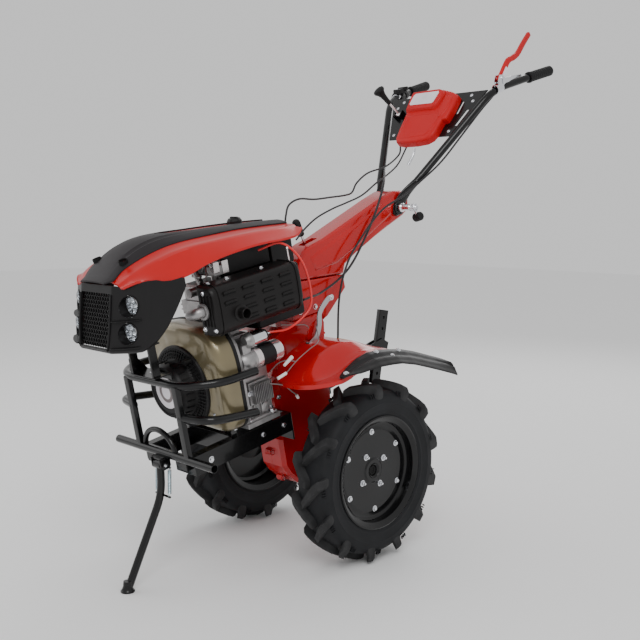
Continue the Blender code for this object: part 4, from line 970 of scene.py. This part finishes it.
def build_grille():
    """A honeycomb of hexagonal cells, with a bright mesh some way behind it."""
    cells = []
    pitch, row_step = 12.0, 10.4
    for row in range(13):
        z = 560 + row * row_step
        for column in range(-6, 7):
            x = column * pitch + (pitch / 2 if row % 2 else 0)
            if abs(x) > 64:
                continue
            lean = NOSE_LEAN * (z - 600)
            centre = (x, -640 + lean + 3, z)
            cells.append(turned([(5.3, 0), (7.1, 0), (7.1, 5), (5.3, 5)], centre, (0, 1, 0), 6, ring=True,
                                phase=0.5))
    piece("honeycomb", cells, BLACK_PLASTIC, stands_for=["grille"])
    sheet = []
    for i in range(13):
        x = -66 + 11 * i
        bulge = 10 * math.cos(x / 66 * 1.4)
        sheet.append([(x, -622 - bulge * 0.5 + NOSE_LEAN * (z - 600), z) for z in (556, 590, 640, 684)])
    made = bmesh.new()
    rows = [[made.verts.new(p) for p in line] for line in sheet]
    for a, b in zip(rows, rows[1:]):
        for i in range(3):
            made.faces.new([a[i], a[i + 1], b[i + 1], b[i]])
    bmesh.ops.solidify(made, geom=made.faces[:], thickness=1.0)
    piece("grille_mesh", [made], STEEL)


# ---------------------------------------------------------------- fenders

FENDER_CREST = ((-175, 327), (-140, 352), (-100, 378), (-50, 391), (0, 393), (50, 383), (109, 350),
                (160, 327), (205, 306), (250, 284))
FENDER_LIP = ((-200, 327), (-149, 327), (-104, 329), (-70, 335), (-40, 346), (16, 355), (50, 353),
              (96, 342), (161, 323), (205, 302), (250, 281))
FENDER_ROWS = (
    # y, inner x, outer x
    (-200, 188, 222), (-197, 170, 236), (-192, 152, 252), (-185, 138, 266), (-175, 122, 281),
    (-165, 112, 292), (-140, 104, 314), (-110, 104, 328), (-75, 104, 332), (-40, 104, 320),
    (0, 104, 316), (90, 104, 316), (170, 104, 316), (205, 112, 316), (235, 130, 300),
)
EDGE_ROWS = (
    # y, inner x, outer x, inner z, outer z
    (-118, 325, 338, 336, 336), (-112, 318, 342, 337, 339), (-100, 312, 346, 339, 341),
    (-60, 302, 350, 348, 336), (-20, 297, 350, 357, 333), (27, 297, 350, 361, 328),
    (70, 297, 350, 355, 320), (114, 297, 350, 344, 310), (170, 297, 350, 327, 288),
    (224, 297, 350, 304, 262), (290, 297, 350, 271, 229), (340, 305, 350, 245, 203),
    (356, 314, 348.5, 234, 194), (363, 325, 346, 228, 191),
)


def between(line, at):
    """The values at this place along rows whose first value is the place."""
    for a, b in zip(line, line[1:]):
        if at <= b[0]:
            share = (max(at, a[0]) - a[0]) / (b[0] - a[0])
            return [p + (q - p) * share for p, q in zip(a[1:], b[1:])]
    return list(line[-1][1:])


def eased(line, at, reach=14):
    """The same with its corners rounded off."""
    picks = [between(line, at + reach * k / 3)[0] for k in range(-3, 4)]
    return sum(picks) / len(picks)


def fender_height(x, y):
    """A dome over the wheel's inner half that falls to a flat lip in front and outside."""
    lip = eased(FENDER_LIP, y)
    dome = max(0.0, eased(FENDER_CREST, y, 10) - lip)
    height = lip + dome * smooth_step((284 - x) / 66)
    height += 2.6 * math.exp(-((x - 272 - 8 * smooth_step((y - 20) / 120)) / 5) ** 2) * smooth_step((y
        + 60) / 50)
    return height - max(0.0, x - 296) * 0.5 * smooth_step((y + 75) / 45)


def build_fender(word, s):
    wide, long = 44, 88
    rings = []
    for i in range(long + 1):
        y = -200 + 435 * (i / long) ** 1.25
        low, high = between(FENDER_ROWS, y)
        top = []
        for j in range(wide + 1):
            x = low + (high - low) * j / wide
            top.append((x, fender_height(x, y)))
        skirt = 13 if i == 0 else 2.2
        (x0, z0), (x1, z1) = top[0], top[-1]
        shaped = [(x0 + 0.6, z0 - 0.4)] + top[1:-1] + [(x1 - 0.8, z1 - 0.2), (x1, z1 - 1.6),
                                                       (x1, z1 - 12),
                                                       (x1 - 1.2, z1 - 13), (x1 - 2.2, z1 - 12),
                                                       (x1 - 2.4, z1 - skirt)]
        shaped += [(x, z - skirt) for x, z in top[-3:1:-1]]
        shaped += [(x0 + 2.4, z0 - skirt), (x0 + 2.2, z0 - 12), (x0 + 1.2, z0 - 13), (x0, z0 - 12),
                   (x0, z0 - 1.6)]
        rings.append([(s * x, y, z) for x, z in shaped])
        if i == 0:
            rings.append([(s * x, y + 1.6, z) for x, z in shaped])
    wall = [prism([(-150, 278), (-140, 350), (-100, 375), (-50, 388), (-30, 389), (-20, 300), (-60, 262)],
                  *sorted((s * 104, s * 107)), "x", 0.6),
            block(s * 57.5, s * 106, -84, -64, 280, 300, 1)]
    piece(f"mudguard_{word}", [skin(rings)] + wall, RED, stands_for=[f"fender_{word}"], angle=40)
    sticker = []
    for i in range(9):
        y = 44 + 5 * i
        sticker.append([(s * x, y, fender_height(x, y) + h) for x, h in
                        ((166, 0.2), (166, 0.7), (174, 0.7), (184, 0.7), (194, 0.7), (194, 0.2))])
    piece(f"mudguard_sticker_{word}", [skin(sticker)], YELLOW)

    rings = []
    for i in range(81):
        y = -118 + 481 * i / 80
        low, high, inner, outer = between(EDGE_ROWS, y)
        front, tail = smooth_step((y + 112) / 60), smooth_step((y - 250) / 90)
        shape = [(0, -0.8), (0.03, 0), (0.12, 0.6), (0.2, 3.4 * front), (0.32, 4.4 * front), (0.4, 1.4),
                 (0.5, 1.0 + 3 * tail), (0.58, 3.6 * front + 2 * tail), (0.7, 4.2 * front), (0.78, 1.6),
                 (0.88, 0.6), (0.96, 0), (1.0, -1.2), (1.0, -5 * front)]
        top = [(s * (low + (high - low) * a), y, inner + (outer - inner) * a + h) for a, h in shape]
        under = [(x - s * (0.0 if k else 2.2), yy, z - (2.4 if k else 0)) for k,
                 (x, yy, z) in enumerate(top[::-1])]
        rings.append(top + under)
    piece(f"edge_{word}", [skin(rings)], BLACK_PLASTIC, stands_for=[f"fender_edge_{word}"], angle=30)
    screws = bolt_heads([((s * x, y, z), (s * 0.3, -0.1, 1)) for x, y, z in
                         ((332, -98, 342.5), (306, 57, 354.5), (306, 150, 331), (322, 104, 330))], 5.6, 4)
    piece(f"edge_screws_{word}", screws, ZINC)


# ---------------------------------------------------------------- boom and handlebars

def seam(y, gap):
    """The height of the sloping joint on which the boom swivels, plus a gap."""
    return 558 - 0.1285 * y + gap


def build_boom():
    shape = [(18, seam(18, 0.4)), (44, 612), (76, 640), (113, 650), (160, 657), (435, 728), (500, 742),
             (552, 736),
             (578, 706), (572, 668), (540, 652), (457, 630), (395, 612), (298, 580), (242, 556),
             (229, seam(229, 0.4))]
    rows = [(-45, 9), (-43, 5), (-38, 1.6), (-34, 0), (34, 0), (38, 1.6), (43, 5), (45, 9)]
    rings = [[(x, y, max(z, seam(y, 0.4))) for y, z in inset(shape, d)] for x, d in rows]
    slot_y = (104, 164)
    slot = block(-13, 13, *slot_y, 606, 700, 0)
    bore = turned([(0, -60), (7.8, -60), (7.8, 60), (0, 60)], (0, 512, 686), (1, 0, 0), 32)
    body = [carved(skin(rings), [slot, bore])]
    panel = [(96, 612), (150, 628), (420, 700), (500, 716), (520, 690), (450, 660), (300, 604),
             (200, 574), (110, 572)]
    for s in (1, -1):
        ring = [[(s * x, y, z) for y, z in inset(panel, d)] for x,
                d in ((43, -5), (47.5, 0), (49, 5), (49.3, 9))]
        body.append(skin(ring))
        low = [(250, 572), (300, 588), (440, 636), (520, 656), (536, 664), (470, 664), (330, 616),
               (240, 580)]
        ring = [[(s * x, y, z) for y, z in inset(low, d)] for x, d in ((42, -2), (46.5, 0), (47, 2))]
        body.append(skin(ring))
    piece("boom_shell", body, RED, "boom", ["handlebar_boom"], angle=26)
    # Painted shade: a near-black floor stands for the shade at the bottom of the lever slot.
    piece("boom_slot_shade", [block(-13, 13, *slot_y, 604, 606, 0.2)], RECESS_SHADE, "boom")
    lever = [swept(curve_through([(0, 130, 628), (0, 124, 640), (0, 116, 664), (0, 108, 690)], 6), 4.4,
                   16),
             rod((-12, 130, 628), (12, 130, 628), 7.5)]
    piece("lock_lever_rod", lever, ZINC, "lock")
    knob = turned([(0, -27), (8, -26.5), (10.5, -23), (11, -10), (12.6, 10), (12.8, 18), (11, 25),
                   (7, 28.5), (0, 29)],
                  (0, 104.5, 702), (0, -0.323, 0.946), 32)
    piece("lock_lever_knob", [knob], RUBBER, "lock", ["boom_lock_lever"])


GRIP_IN = Vector((262, 1000, 1034))
GRIP_OUT = Vector((275, 1120, 1045))
CLAMP = Vector((0, 512, 686))
BAR_FOOT = (
    # x, y, z of the middle, half width across, half thickness of the bar's flattened lower end
    (50.8, 492, 665, 8, 4.6), (50.8, 497, 671, 16, 5.2), (50.8, 504, 678, 22, 5.3),
    (50.8, 514, 688, 24, 5.3), (51.0, 527, 702, 23.5, 5.5), (53.5, 541, 717, 21, 6.2),
    (60, 556, 732, 18, 8), (68, 568, 744, 15.4, 10.3), (75, 577, 753, 13.6, 12),
    (83, 586, 762, 12.6, 12.6), (90, 600, 775, 12.5, 12.5),
)


def build_handlebars():
    for word, s in SIDES:
        path = rounded(flip([(80.7, 583, 758), (227, 851, 1014), GRIP_IN, GRIP_OUT], s), [60, 6], 14)
        rings = []
        for x, y, z, across, thick in BAR_FOOT:
            rings.append([(s * (x + thick * math.cos(t)), y - 0.73 * across * math.sin(t),
                           z + 0.68 * across * math.sin(t))
                           for t in [2 * math.pi * k / 28 for k in range(28)]])
        boss = turned([(7.6, 44.8), (22, 44.8), (24, 47), (24, 58), (22, 60), (7.6, 60)], CLAMP,
                      (s, 0, 0), 40, ring=True)
        piece(f"bar_{word}", [swept(path, 12.5, 28), skin(rings), boss], BLACK, "handlebars",
              [f"handlebar_{word}"])
        way = (GRIP_OUT - GRIP_IN).normalized()
        profile = [(13.2, -112), (17.6, -112), (19, -108), (19, -104), (16.2, -101)]
        for i in range(9):
            t = -97 + 10.5 * i
            profile += [(16.4, t), (17.3, t + 2.6), (17.5, t + 5), (16.2, t + 8)]
        profile += [(17.4, 1), (17.4, 5), (15, 8.6), (0, 9)]
        centre = Vector((s * GRIP_OUT.x, GRIP_OUT.y, GRIP_OUT.z))
        grip = turned(profile, centre, (s * way.x, way.y, way.z), 36)
        piece(f"handgrip_{word}", [grip], RUBBER, "handlebars", [f"grip_{word}"])


def build_clutch_lever():
    cheek = [(862, 1010), (902, 1021), (903, 1040), (890, 1059), (872, 1060), (862, 1044)]
    bracket = [prism(cheek, x, x + 2.6, "x", 0.7) for x in (227.5, 244.5)]
    bracket.append(rod((225, 881, 1049), (251, 881, 1049), 4.2))
    bracket.append(turned([(13, -14), (15.6, -14), (15.6, 14), (13, 14)], (235, 872, 1017),
                          (0.2, 0.97, 0.15), 32,
                          ring=True))
    rack = [(884, 1030), (962, 1036), (990, 1041), (992, 1047)]
    teeth = [(992 - 7 * i - (3.5 if k else 0), 1047 + (4 if k else 0)) for i in range(9) for k in (0, 1)]
    bracket.append(prism(rack + teeth + [(926, 1049), (884, 1047)], 247.4, 249.8, "x", 0.3))
    piece("clutch_bracket", bracket, ZINC, "handlebars")
    line = curve_through([(0, 868, 1046), (0, 889, 1066), (0, 931, 1106), (0, 962, 1116), (0, 993, 1126),
                          (0, 1032, 1156), (0, 1071, 1184)], 8)
    low = curve_through([(0, 886, 1036), (0, 900, 1048), (0, 940, 1090), (0, 972, 1099), (0, 1003, 1112),
                         (0, 1040, 1142), (0, 1079, 1171)], 8)
    rings = []
    wide = 6.2
    for a, b in zip(line, low):
        mid, half = (a + b) / 2, (a - b) / 2
        ring = []
        for k in range(16):
            turn = 2 * math.pi * k / 16
            up = max(-1, min(1, 1.3 * math.sin(turn)))
            ring.append((237.3 + wide * max(-1, min(1, 1.2 * math.cos(turn))), mid.y + half.y * up, mid.z
                         + half.z * up))
        rings.append(ring)
    piece("clutch_handle", [skin(rings)], RED_MATT, "clutch", ["clutch_lever"], angle=50)
    tag = [(890, 1058), (916, 1084), (928, 1073), (902, 1047)]
    piece("clutch_sticker", [prism(tag, 243.2, 243.9, "x", 0)], STICKER, "clutch")


def build_throttle():
    spot = Vector((-262, 1000, 1034)).lerp(Vector((-227, 851, 1014)), 0.28)
    axis = Vector((-0.2266, 0.9647, 0.1295))
    ring = turned([(13.4, -12), (19, -12), (19.5, -8), (19.5, 8), (19, 12), (13.4, 12)], spot, axis, 40,
                  ring=True, edge=0.6)
    horn = prism([(-264, 942), (-256, 938), (-232, 962), (-236, 970)], 1044, 1058, "z", 2)
    piece("throttle_control", [ring, horn], BLACK_PLASTIC, "throttle", ["throttle_lever"])
    low = spot - axis * 42
    case = [turned([(13, -15), (22, -15), (23.5, -11), (23.5, 11), (22, 15), (13, 15)], low, axis, 40,
                   ring=True),
            block(low.x - 14, low.x + 16, low.y - 12, low.y + 14, low.z + 12, low.z + 30, 3),
            rod(low + Vector((18, 0, 8)), low + Vector((34, -8, 18)), 7, steps=20, edge=2)]
    piece("switch_case", case, BLACK_PLASTIC, "handlebars")
    bits = hex_bolt(tuple(low + Vector((0, -4, 30))), (0, 0, 1), 4, 4)
    bits.append(turned([(13.2, -3), (15.4, -3), (15.4, 3), (13.2, 3)], low - axis * 22, axis, 32,
                       ring=True))
    bits.append(rod(low - axis * 22 + Vector((14, 0, 0)), low - axis * 22 + Vector((24, 0, 10)), 3.2,
                    steps=16))
    piece("switch_clamp", bits, ZINC, "handlebars")


def build_clamp():
    _, y, z = CLAMP
    metal = [turned([(0, -66), (12, -66), (12, -60.6), (7, -60.6), (7, 60.6), (14, 60.6), (15, 62),
                     (15, 70), (12, 73),
                     (11, 74), (11, 104), (8, 108), (8, 130), (6.5, 132), (0, 132)], CLAMP, (1, 0, 0),
                     40),
             turned([(0, 111), (13, 111), (14, 113), (14, 125), (13, 127), (0, 127)], CLAMP, (1, 0, 0), 6,
                    edge=1),
             swept(curve_through([(119, y, z), (119, y + 6, z - 14), (119, y + 14, z - 34)], 6), 5.4, 16)]
    piece("clamp_bolt", metal, ZINC, "clamp", ["clamp_screw"])
    knob = turned([(0, -16), (12, -15.5), (14.5, -12), (14.8, 0), (14.5, 12), (12, 15.5), (0, 16)],
                  (119, y + 15, z - 34), (1, -0.1, 0.26), 32)
    piece("clamp_knob", [knob], RUBBER, "clamp")


def slant(across, along, out):
    """A point given in the plane of the handlebars: across, up along the bars, out of the plane."""
    way = Vector((0, 0.7255, 0.6882))
    normal = Vector((0, -0.6882, 0.7255))
    return tuple(Vector((0, 715, 885)) + Vector((across, 0, 0)) + way * along + normal * out)


def slab(levels):
    """A body over (outline, height) levels standing on the console plate."""
    return skin([[slant(a, b, c) for a, b in outline] for outline, c in levels])


def build_console():
    cover = [(-93, 187), (-60, 190), (40, 190), (84, 176), (112, 160), (116, 140), (116, 100), (110, 56),
             (94, 52),
             (92, 34), (90, 2), (82, -18), (62, -30), (20, -36), (-40, -36), (-68, -30), (-76, -16),
             (-80, 20), (-84, 100)]
    levels = [(inset(cover, -0.4), 2.4), (cover, 20), (inset(cover, 1.5), 26), (inset(cover, 4.5), 30),
              (inset(cover, 9), 32), (inset(cover, 14), 32.4)]
    top = [(-80, 98), (40, 98), (52, 112), (62, 150), (58, 172), (34, 183), (-84, 180), (-86, 160)]
    bump = [(inset(top, -2), 30), (top, 34), (inset(top, 2), 41), (inset(top, 5), 44),
            (inset(top, 9), 45)]
    step = [(64, 160), (96, 150), (104, 132), (103, 100), (92, 66), (78, 60), (66, 90)]
    side = [(inset(step, -2), 29), (step, 33), (inset(step, 3), 36), (inset(step, 6), 36.6)]
    lower = [(-64, 78), (80, 78), (74, 8), (52, -14), (-50, -20), (-64, -8)]
    dish = [(inset(lower, -2), 30), (lower, 33), (inset(lower, 3), 34.4), (inset(lower, 6), 34.8)]
    piece("console", [slab(levels), slab(bump), slab(side), slab(dish)], RED_MATT, "handlebars",
          ["control_cover"], angle=40)
    tag = [(-64, 116), (30, 116), (36, 122), (42, 160), (38, 168), (-62, 166), (-68, 160), (-70, 122)]
    piece("console_sticker", [slab([(tag, 44.6), (tag, 45.9)])], STICKER, "handlebars")
    foot, knob = Vector(slant(-132.5, 106, 14)), Vector(slant(-160, 126, 112))
    way = knob - foot
    piece("gear_rod", [rod(foot, knob, 3.6, steps=20),
                       rod(slant(-143.4, 106, 14), slant(-121.6, 106, 14), 6.5)], PEARL, "shift")
    horn = turned([(0, -52), (6.5, -52), (8.5, -44), (9, -28), (11, -12), (15, -1), (20, 5), (21, 10),
                   (19, 15), (12, 18),
                   (0, 19)], knob, way, 40)
    piece("gear_knob", [horn], RUBBER, "shift", ["gear_lever"])
    out = Vector(slant(0, 0, 1)) - Vector(slant(0, 0, 0))
    screws = bolt_heads([(slant(s * a, b, 2), out) for a, b in ((166, 146), (122, 22), (150, 172))
                         for s in (1, -1)], 4.2, 3)
    piece("console_screws", screws, ZINC, "handlebars")
    link = swept(curve_through([slant(10, -46, 6), (8, 668, 836), (4, 640, 806)], 6), 5, 16)
    piece("link_end", [link], ZINC, "handlebars")


# ---------------------------------------------------------------- cables and wires

def two_part_cable(name, node, points, split, radius, sides=14):
    """A black cable from the handlebars by the boom to the machine, made as two fixed pieces.

    split is how many of the spans between its points belong to the first piece.
    """
    path = curve_through(points, 8)
    cut = int(split * 8)
    upper, lower = path[:cut + 1], path[cut:]
    for line, part, bodies, stands_for in ((upper, "upper", ("handlebars", "boom"), [node]
                                            if node else ()),
                                           (lower, "lower", ("boom", "machine"), ())):
        made = piece(f"{name}_{part}", [swept(line, radius, sides)], BLACK_WIRE, stands_for=stands_for,
                     rides=False)
        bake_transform(made)


def build_cables():
    two_part_cable("clutch_line", "clutch_cable",
                   [(237, 884, 1034), (230, 858, 1002), (205, 808, 956), (168, 738, 884), (132, 664, 812),
                    (106, 590, 766), (92, 500, 728), (82, 400, 700), (80, 300, 640), (80, 215, 570),
                    (78, 160, 470), (74, 130, 330)], 5, 3.2)
    two_part_cable("throttle_line", "throttle_cable",
                   [(-206, 812, 962), (-160, 728, 880), (-118, 660, 812), (-60, 590, 800), (0, 520, 790),
                    (50, 450, 762), (60, 379, 680), (64, 270, 575), (68, 190, 530), (90, 80, 512),
                    (118, 10, 518), (126, -30, 520)], 4, 3.6)
    two_part_cable("lock_line", "lock_cable",
                   [slant(-72, -22, -3), (-84, 700, 836), (-60, 600, 812), (-40, 486, 808),
                    (-24, 410, 788),
                    (-14, 372, 764), (-4, 330, 762), (8, 250, 770), (20, 169, 779), (28, 100, 793),
                    (32, 52, 784), (34, 32, 756), (33, 24, 728)], 4, 3.0)
    two_part_cable("stop_line", None,
                   [slant(-40, -30, -3), (-40, 640, 812), (-20, 560, 790), (6, 470, 776), (20, 380, 752),
                    (22, 300, 742), (22, 240, 736), (20, 170, 722), (22, 112, 700), (30, 62, 676)], 4.5,
                    2.8, 12)
    red = [(126, -170, 700), (160, -112, 708), (186, -70, 650), (190, -55, 560), (186, -70, 505),
           (170, -135, 470),
           (164, -190, 474), (170, -214, 480)]
    piece("battery_lead", [swept(curve_through(red, 10), 3.4, 16)], RED_WIRE,
          stands_for=["battery_cable"])
    rods = [rod((170, -102, 689), (170, -98, 541), 2.6, steps=16),
            rod((170, -102, 689), (168, -100, 694), 4),
            rod((170, -98, 536), (170, -98, 544), 5, steps=20)]
    piece("tie_rod", rods, PEARL)
    wires = [swept(curve_through(line, 8), radius, 10) for radius, line in (
        (1.4, [(150, -150, 480), (166, -110, 470), (160, -70, 458), (140, -40, 440)]),
        (1.6, [(153, -226, 330), (172, -196, 318), (178, -170, 290), (172, -150, 272)]),
        (1.6, [(146, -210, 362), (160, -190, 380), (176, -170, 384), (190, -150, 376)]),
        (1.5, [(152, -20, 440), (176, -40, 424), (206, -70, 412), (216, -120, 404), (206, -160, 384),
               (196, -196, 358)]),
    )]
    piece("wires", wires, GREY_WIRE)
    plugs = [rod((196, -196, 358), (190, -226, 350), 4.6, steps=20, edge=1),
             rod((176, -150, 388), (184, -190, 376), 6, 4.2, steps=20, edge=1),
             rod((172, -152, 274), (171, -146, 262), 4.4, steps=20, edge=1)]
    piece("wire_plugs", plugs, WHITE)


def build_rear_lever():
    """The bent reverse lever beside the gearbox and its little bracket."""
    line = curve_through([(130, 76, 500), (130, 59, 496), (130, 23, 468), (131, 12, 431), (132, -8, 400),
                          (132, -39, 385)], 8)
    rings = []
    for i, p in enumerate(line):
        ahead = line[min(i + 1, len(line) - 1)] - line[max(i - 1, 0)]
        side = Vector((0, -ahead.z, ahead.y)).normalized() * 8.5
        rings.append([p + side + Vector((-2, 0, 0)), p + side + Vector((2, 0, 0)), p - side
                      + Vector((2, 0, 0)),
                      p - side + Vector((-2, 0, 0))])
    piece("reverse_lever", [soft(skin(rings), 0.7)], STEEL)
    ends = [turned([(0, -4), (9, -4), (9, 4), (0, 4)], (130, 76, 500), (1, 0, 0), 32, edge=0.8),
            turned([(0, -8), (10, -8), (10, 8), (0, 8)], (132, -39, 385), (1, 0, 0), 32, edge=0.8)]
    ends += hex_bolt((134, 76, 500), (1, 0, 0), 4.4, 4)
    piece("reverse_lever_ends", ends, ZINC)
    plate = [(-28, 400), (-24, 396), (36, 398), (44, 406), (42, 442), (34, 450), (2, 440), (-20, 424)]
    piece("lever_bracket", [prism(plate, 112, 116, "x", 0.8), block(104, 118, -28, 44, 394, 400)], RED)
    nuts = hex_bolt((116, 22, 424), (1, 0, 0), 5, 5) + hex_bolt((112, 128, 334), (0.2, 0, 1), 5, 5)
    piece("bracket_nuts", nuts, ZINC)


def build_gear_details():
    parts = []
    for s in (1, -1):
        for y, z in ((-146, 62), (-118, -34), (20, -97), (98, 90), (99, 250), (-128, 180), (-124, 240)):
            parts += hex_bolt((s * 12 if z < 170 or y > 0 else s * 57, y, z), (s, 0, 0), 5.4, 5)
        for i in range(4):
            turn = math.radians(45 + 90 * i)
            parts += hex_bolt((s * 57, 40 * math.cos(turn), 40 * math.sin(turn)), (s, 0, 0), 5.4, 4)
        for y in (20, 84):
            parts += hex_bolt((s * 47, y, 462), (s, 0, 0), 6, 5)
    piece("gearbox_bolts", parts, ZINC)
    rail = bolt_heads([((s * 116, y, 178), (s, 0, 0)) for y in (-250, -170, -440) for s in (1, -1)], 6.4,
                      5)
    piece("frame_bolts", rail, ZINC)


# ---------------------------------------------------------------- studio

def build_studio():
    scene = bpy.context.scene
    floor_mesh = bpy.data.meshes.new("floor")
    floor_mesh.from_pydata([(-14, -14, 0), (14, -14, 0), (14, 14, 0), (-14, 14, 0)], [], [(0, 1, 2, 3)])
    floor = bpy.data.objects.new("floor", floor_mesh)
    pale = bpy.data.materials.new("pale floor")
    pale.use_nodes = True
    pale.node_tree.nodes["Principled BSDF"].inputs["Base Color"].default_value = (0.92, 0.92, 0.92, 1)
    pale.node_tree.nodes["Principled BSDF"].inputs["Roughness"].default_value = 0.9
    floor_mesh.materials.append(pale)
    scene.collection.objects.link(floor)
    world = bpy.data.worlds.new("studio")
    scene.world = world
    world.use_nodes = True
    world.node_tree.nodes["Background"].inputs["Color"].default_value = (1, 1, 1, 1)
    world.node_tree.nodes["Background"].inputs["Strength"].default_value = 0.8
    lights = (
        ("key", (2.6, -2.4, 3.4), 70, 2.0),
        ("fill", (-3.2, -2.0, 2.4), 25, 3.0),
        ("back", (-1.2, 3.4, 3.0), 40, 2.4),
    )
    aim = Vector((0, -0.1, 0.7))
    for name, place, power, size in lights:
        lamp = bpy.data.lights.new(name, "AREA")
        lamp.energy = power
        lamp.size = size
        obj = bpy.data.objects.new(name, lamp)
        obj.location = place
        obj.rotation_euler = (aim - Vector(place)).to_track_quat("-Z", "Y").to_euler()
        scene.collection.objects.link(obj)
    camera = bpy.data.cameras.new("camera")
    camera.lens = 52.1
    camera.sensor_width = 36
    camera.clip_start, camera.clip_end = 0.05, 60
    azimuth, elevation, roll = math.radians(45.93), math.radians(6.33), 0.0071
    back = Vector((math.sin(azimuth) * math.cos(elevation), -math.cos(azimuth) * math.cos(elevation),
                   math.sin(elevation)))
    right = (-back).cross(Vector((0, 0, 1))).normalized()
    up = right.cross(-back)
    side = right * math.cos(roll) + up * math.sin(roll)
    top = up * math.cos(roll) - right * math.sin(roll)
    turn = Matrix((side, top, back)).transposed()
    obj = bpy.data.objects.new("camera", camera)
    obj.matrix_world = Matrix.Translation((2.0934, -2.0420, 1.0124)) @ turn.to_4x4()
    scene.collection.objects.link(obj)
    scene.camera = obj


build_studio()

for node, look, bevel in (
    ("chassis_frame", BLACK, 0.0008), ("crankcase", CAST, 0.0015), ("crankshaft", STEEL, 0.0005),
    ("flywheel_fan", CAST, 0.0008), ("cylinder_head", CAST, 0.0012), ("air_filter", BLACK_PLASTIC, 0.002),
    ("battery", BLACK_PLASTIC, 0.002), ("fuel_tank", BLACK_PLASTIC, 0.002),
    ("fuel_cap", BLACK_PLASTIC, 0.0008),
    ("gearbox_half_left", RED, 0.003), ("gearbox_half_right", RED, 0.003),
    ("clutch_housing", RED, 0.0015),
    ("axle_shaft", STEEL, 0.0008), ("axle_gear", STEEL, 0.0003), ("final_pinion", STEEL, 0.0003),
    ("boom_base", RED, 0.002), ("control_plate", BLACK, 0.0006), ("hitch_bracket", BLACK, 0.0008),
    ("depth_bar", BLACK, 0.0008),
):
    keep(node, look, bevel)

for word, s in SIDES:
    build_tyre(word, s)
    build_wheel(word, s)
    build_fender(word, s)
build_guard()
build_stand()
build_shroud()
build_recoil()
build_muffler()
build_starter()
build_engine_details()
build_hood()
build_nose()
build_nose_trims()
build_lamps()
build_grille()
build_boom()
build_handlebars()
build_clutch_lever()
build_throttle()
build_clamp()
build_console()
build_cables()
build_rear_lever()
build_gear_details()
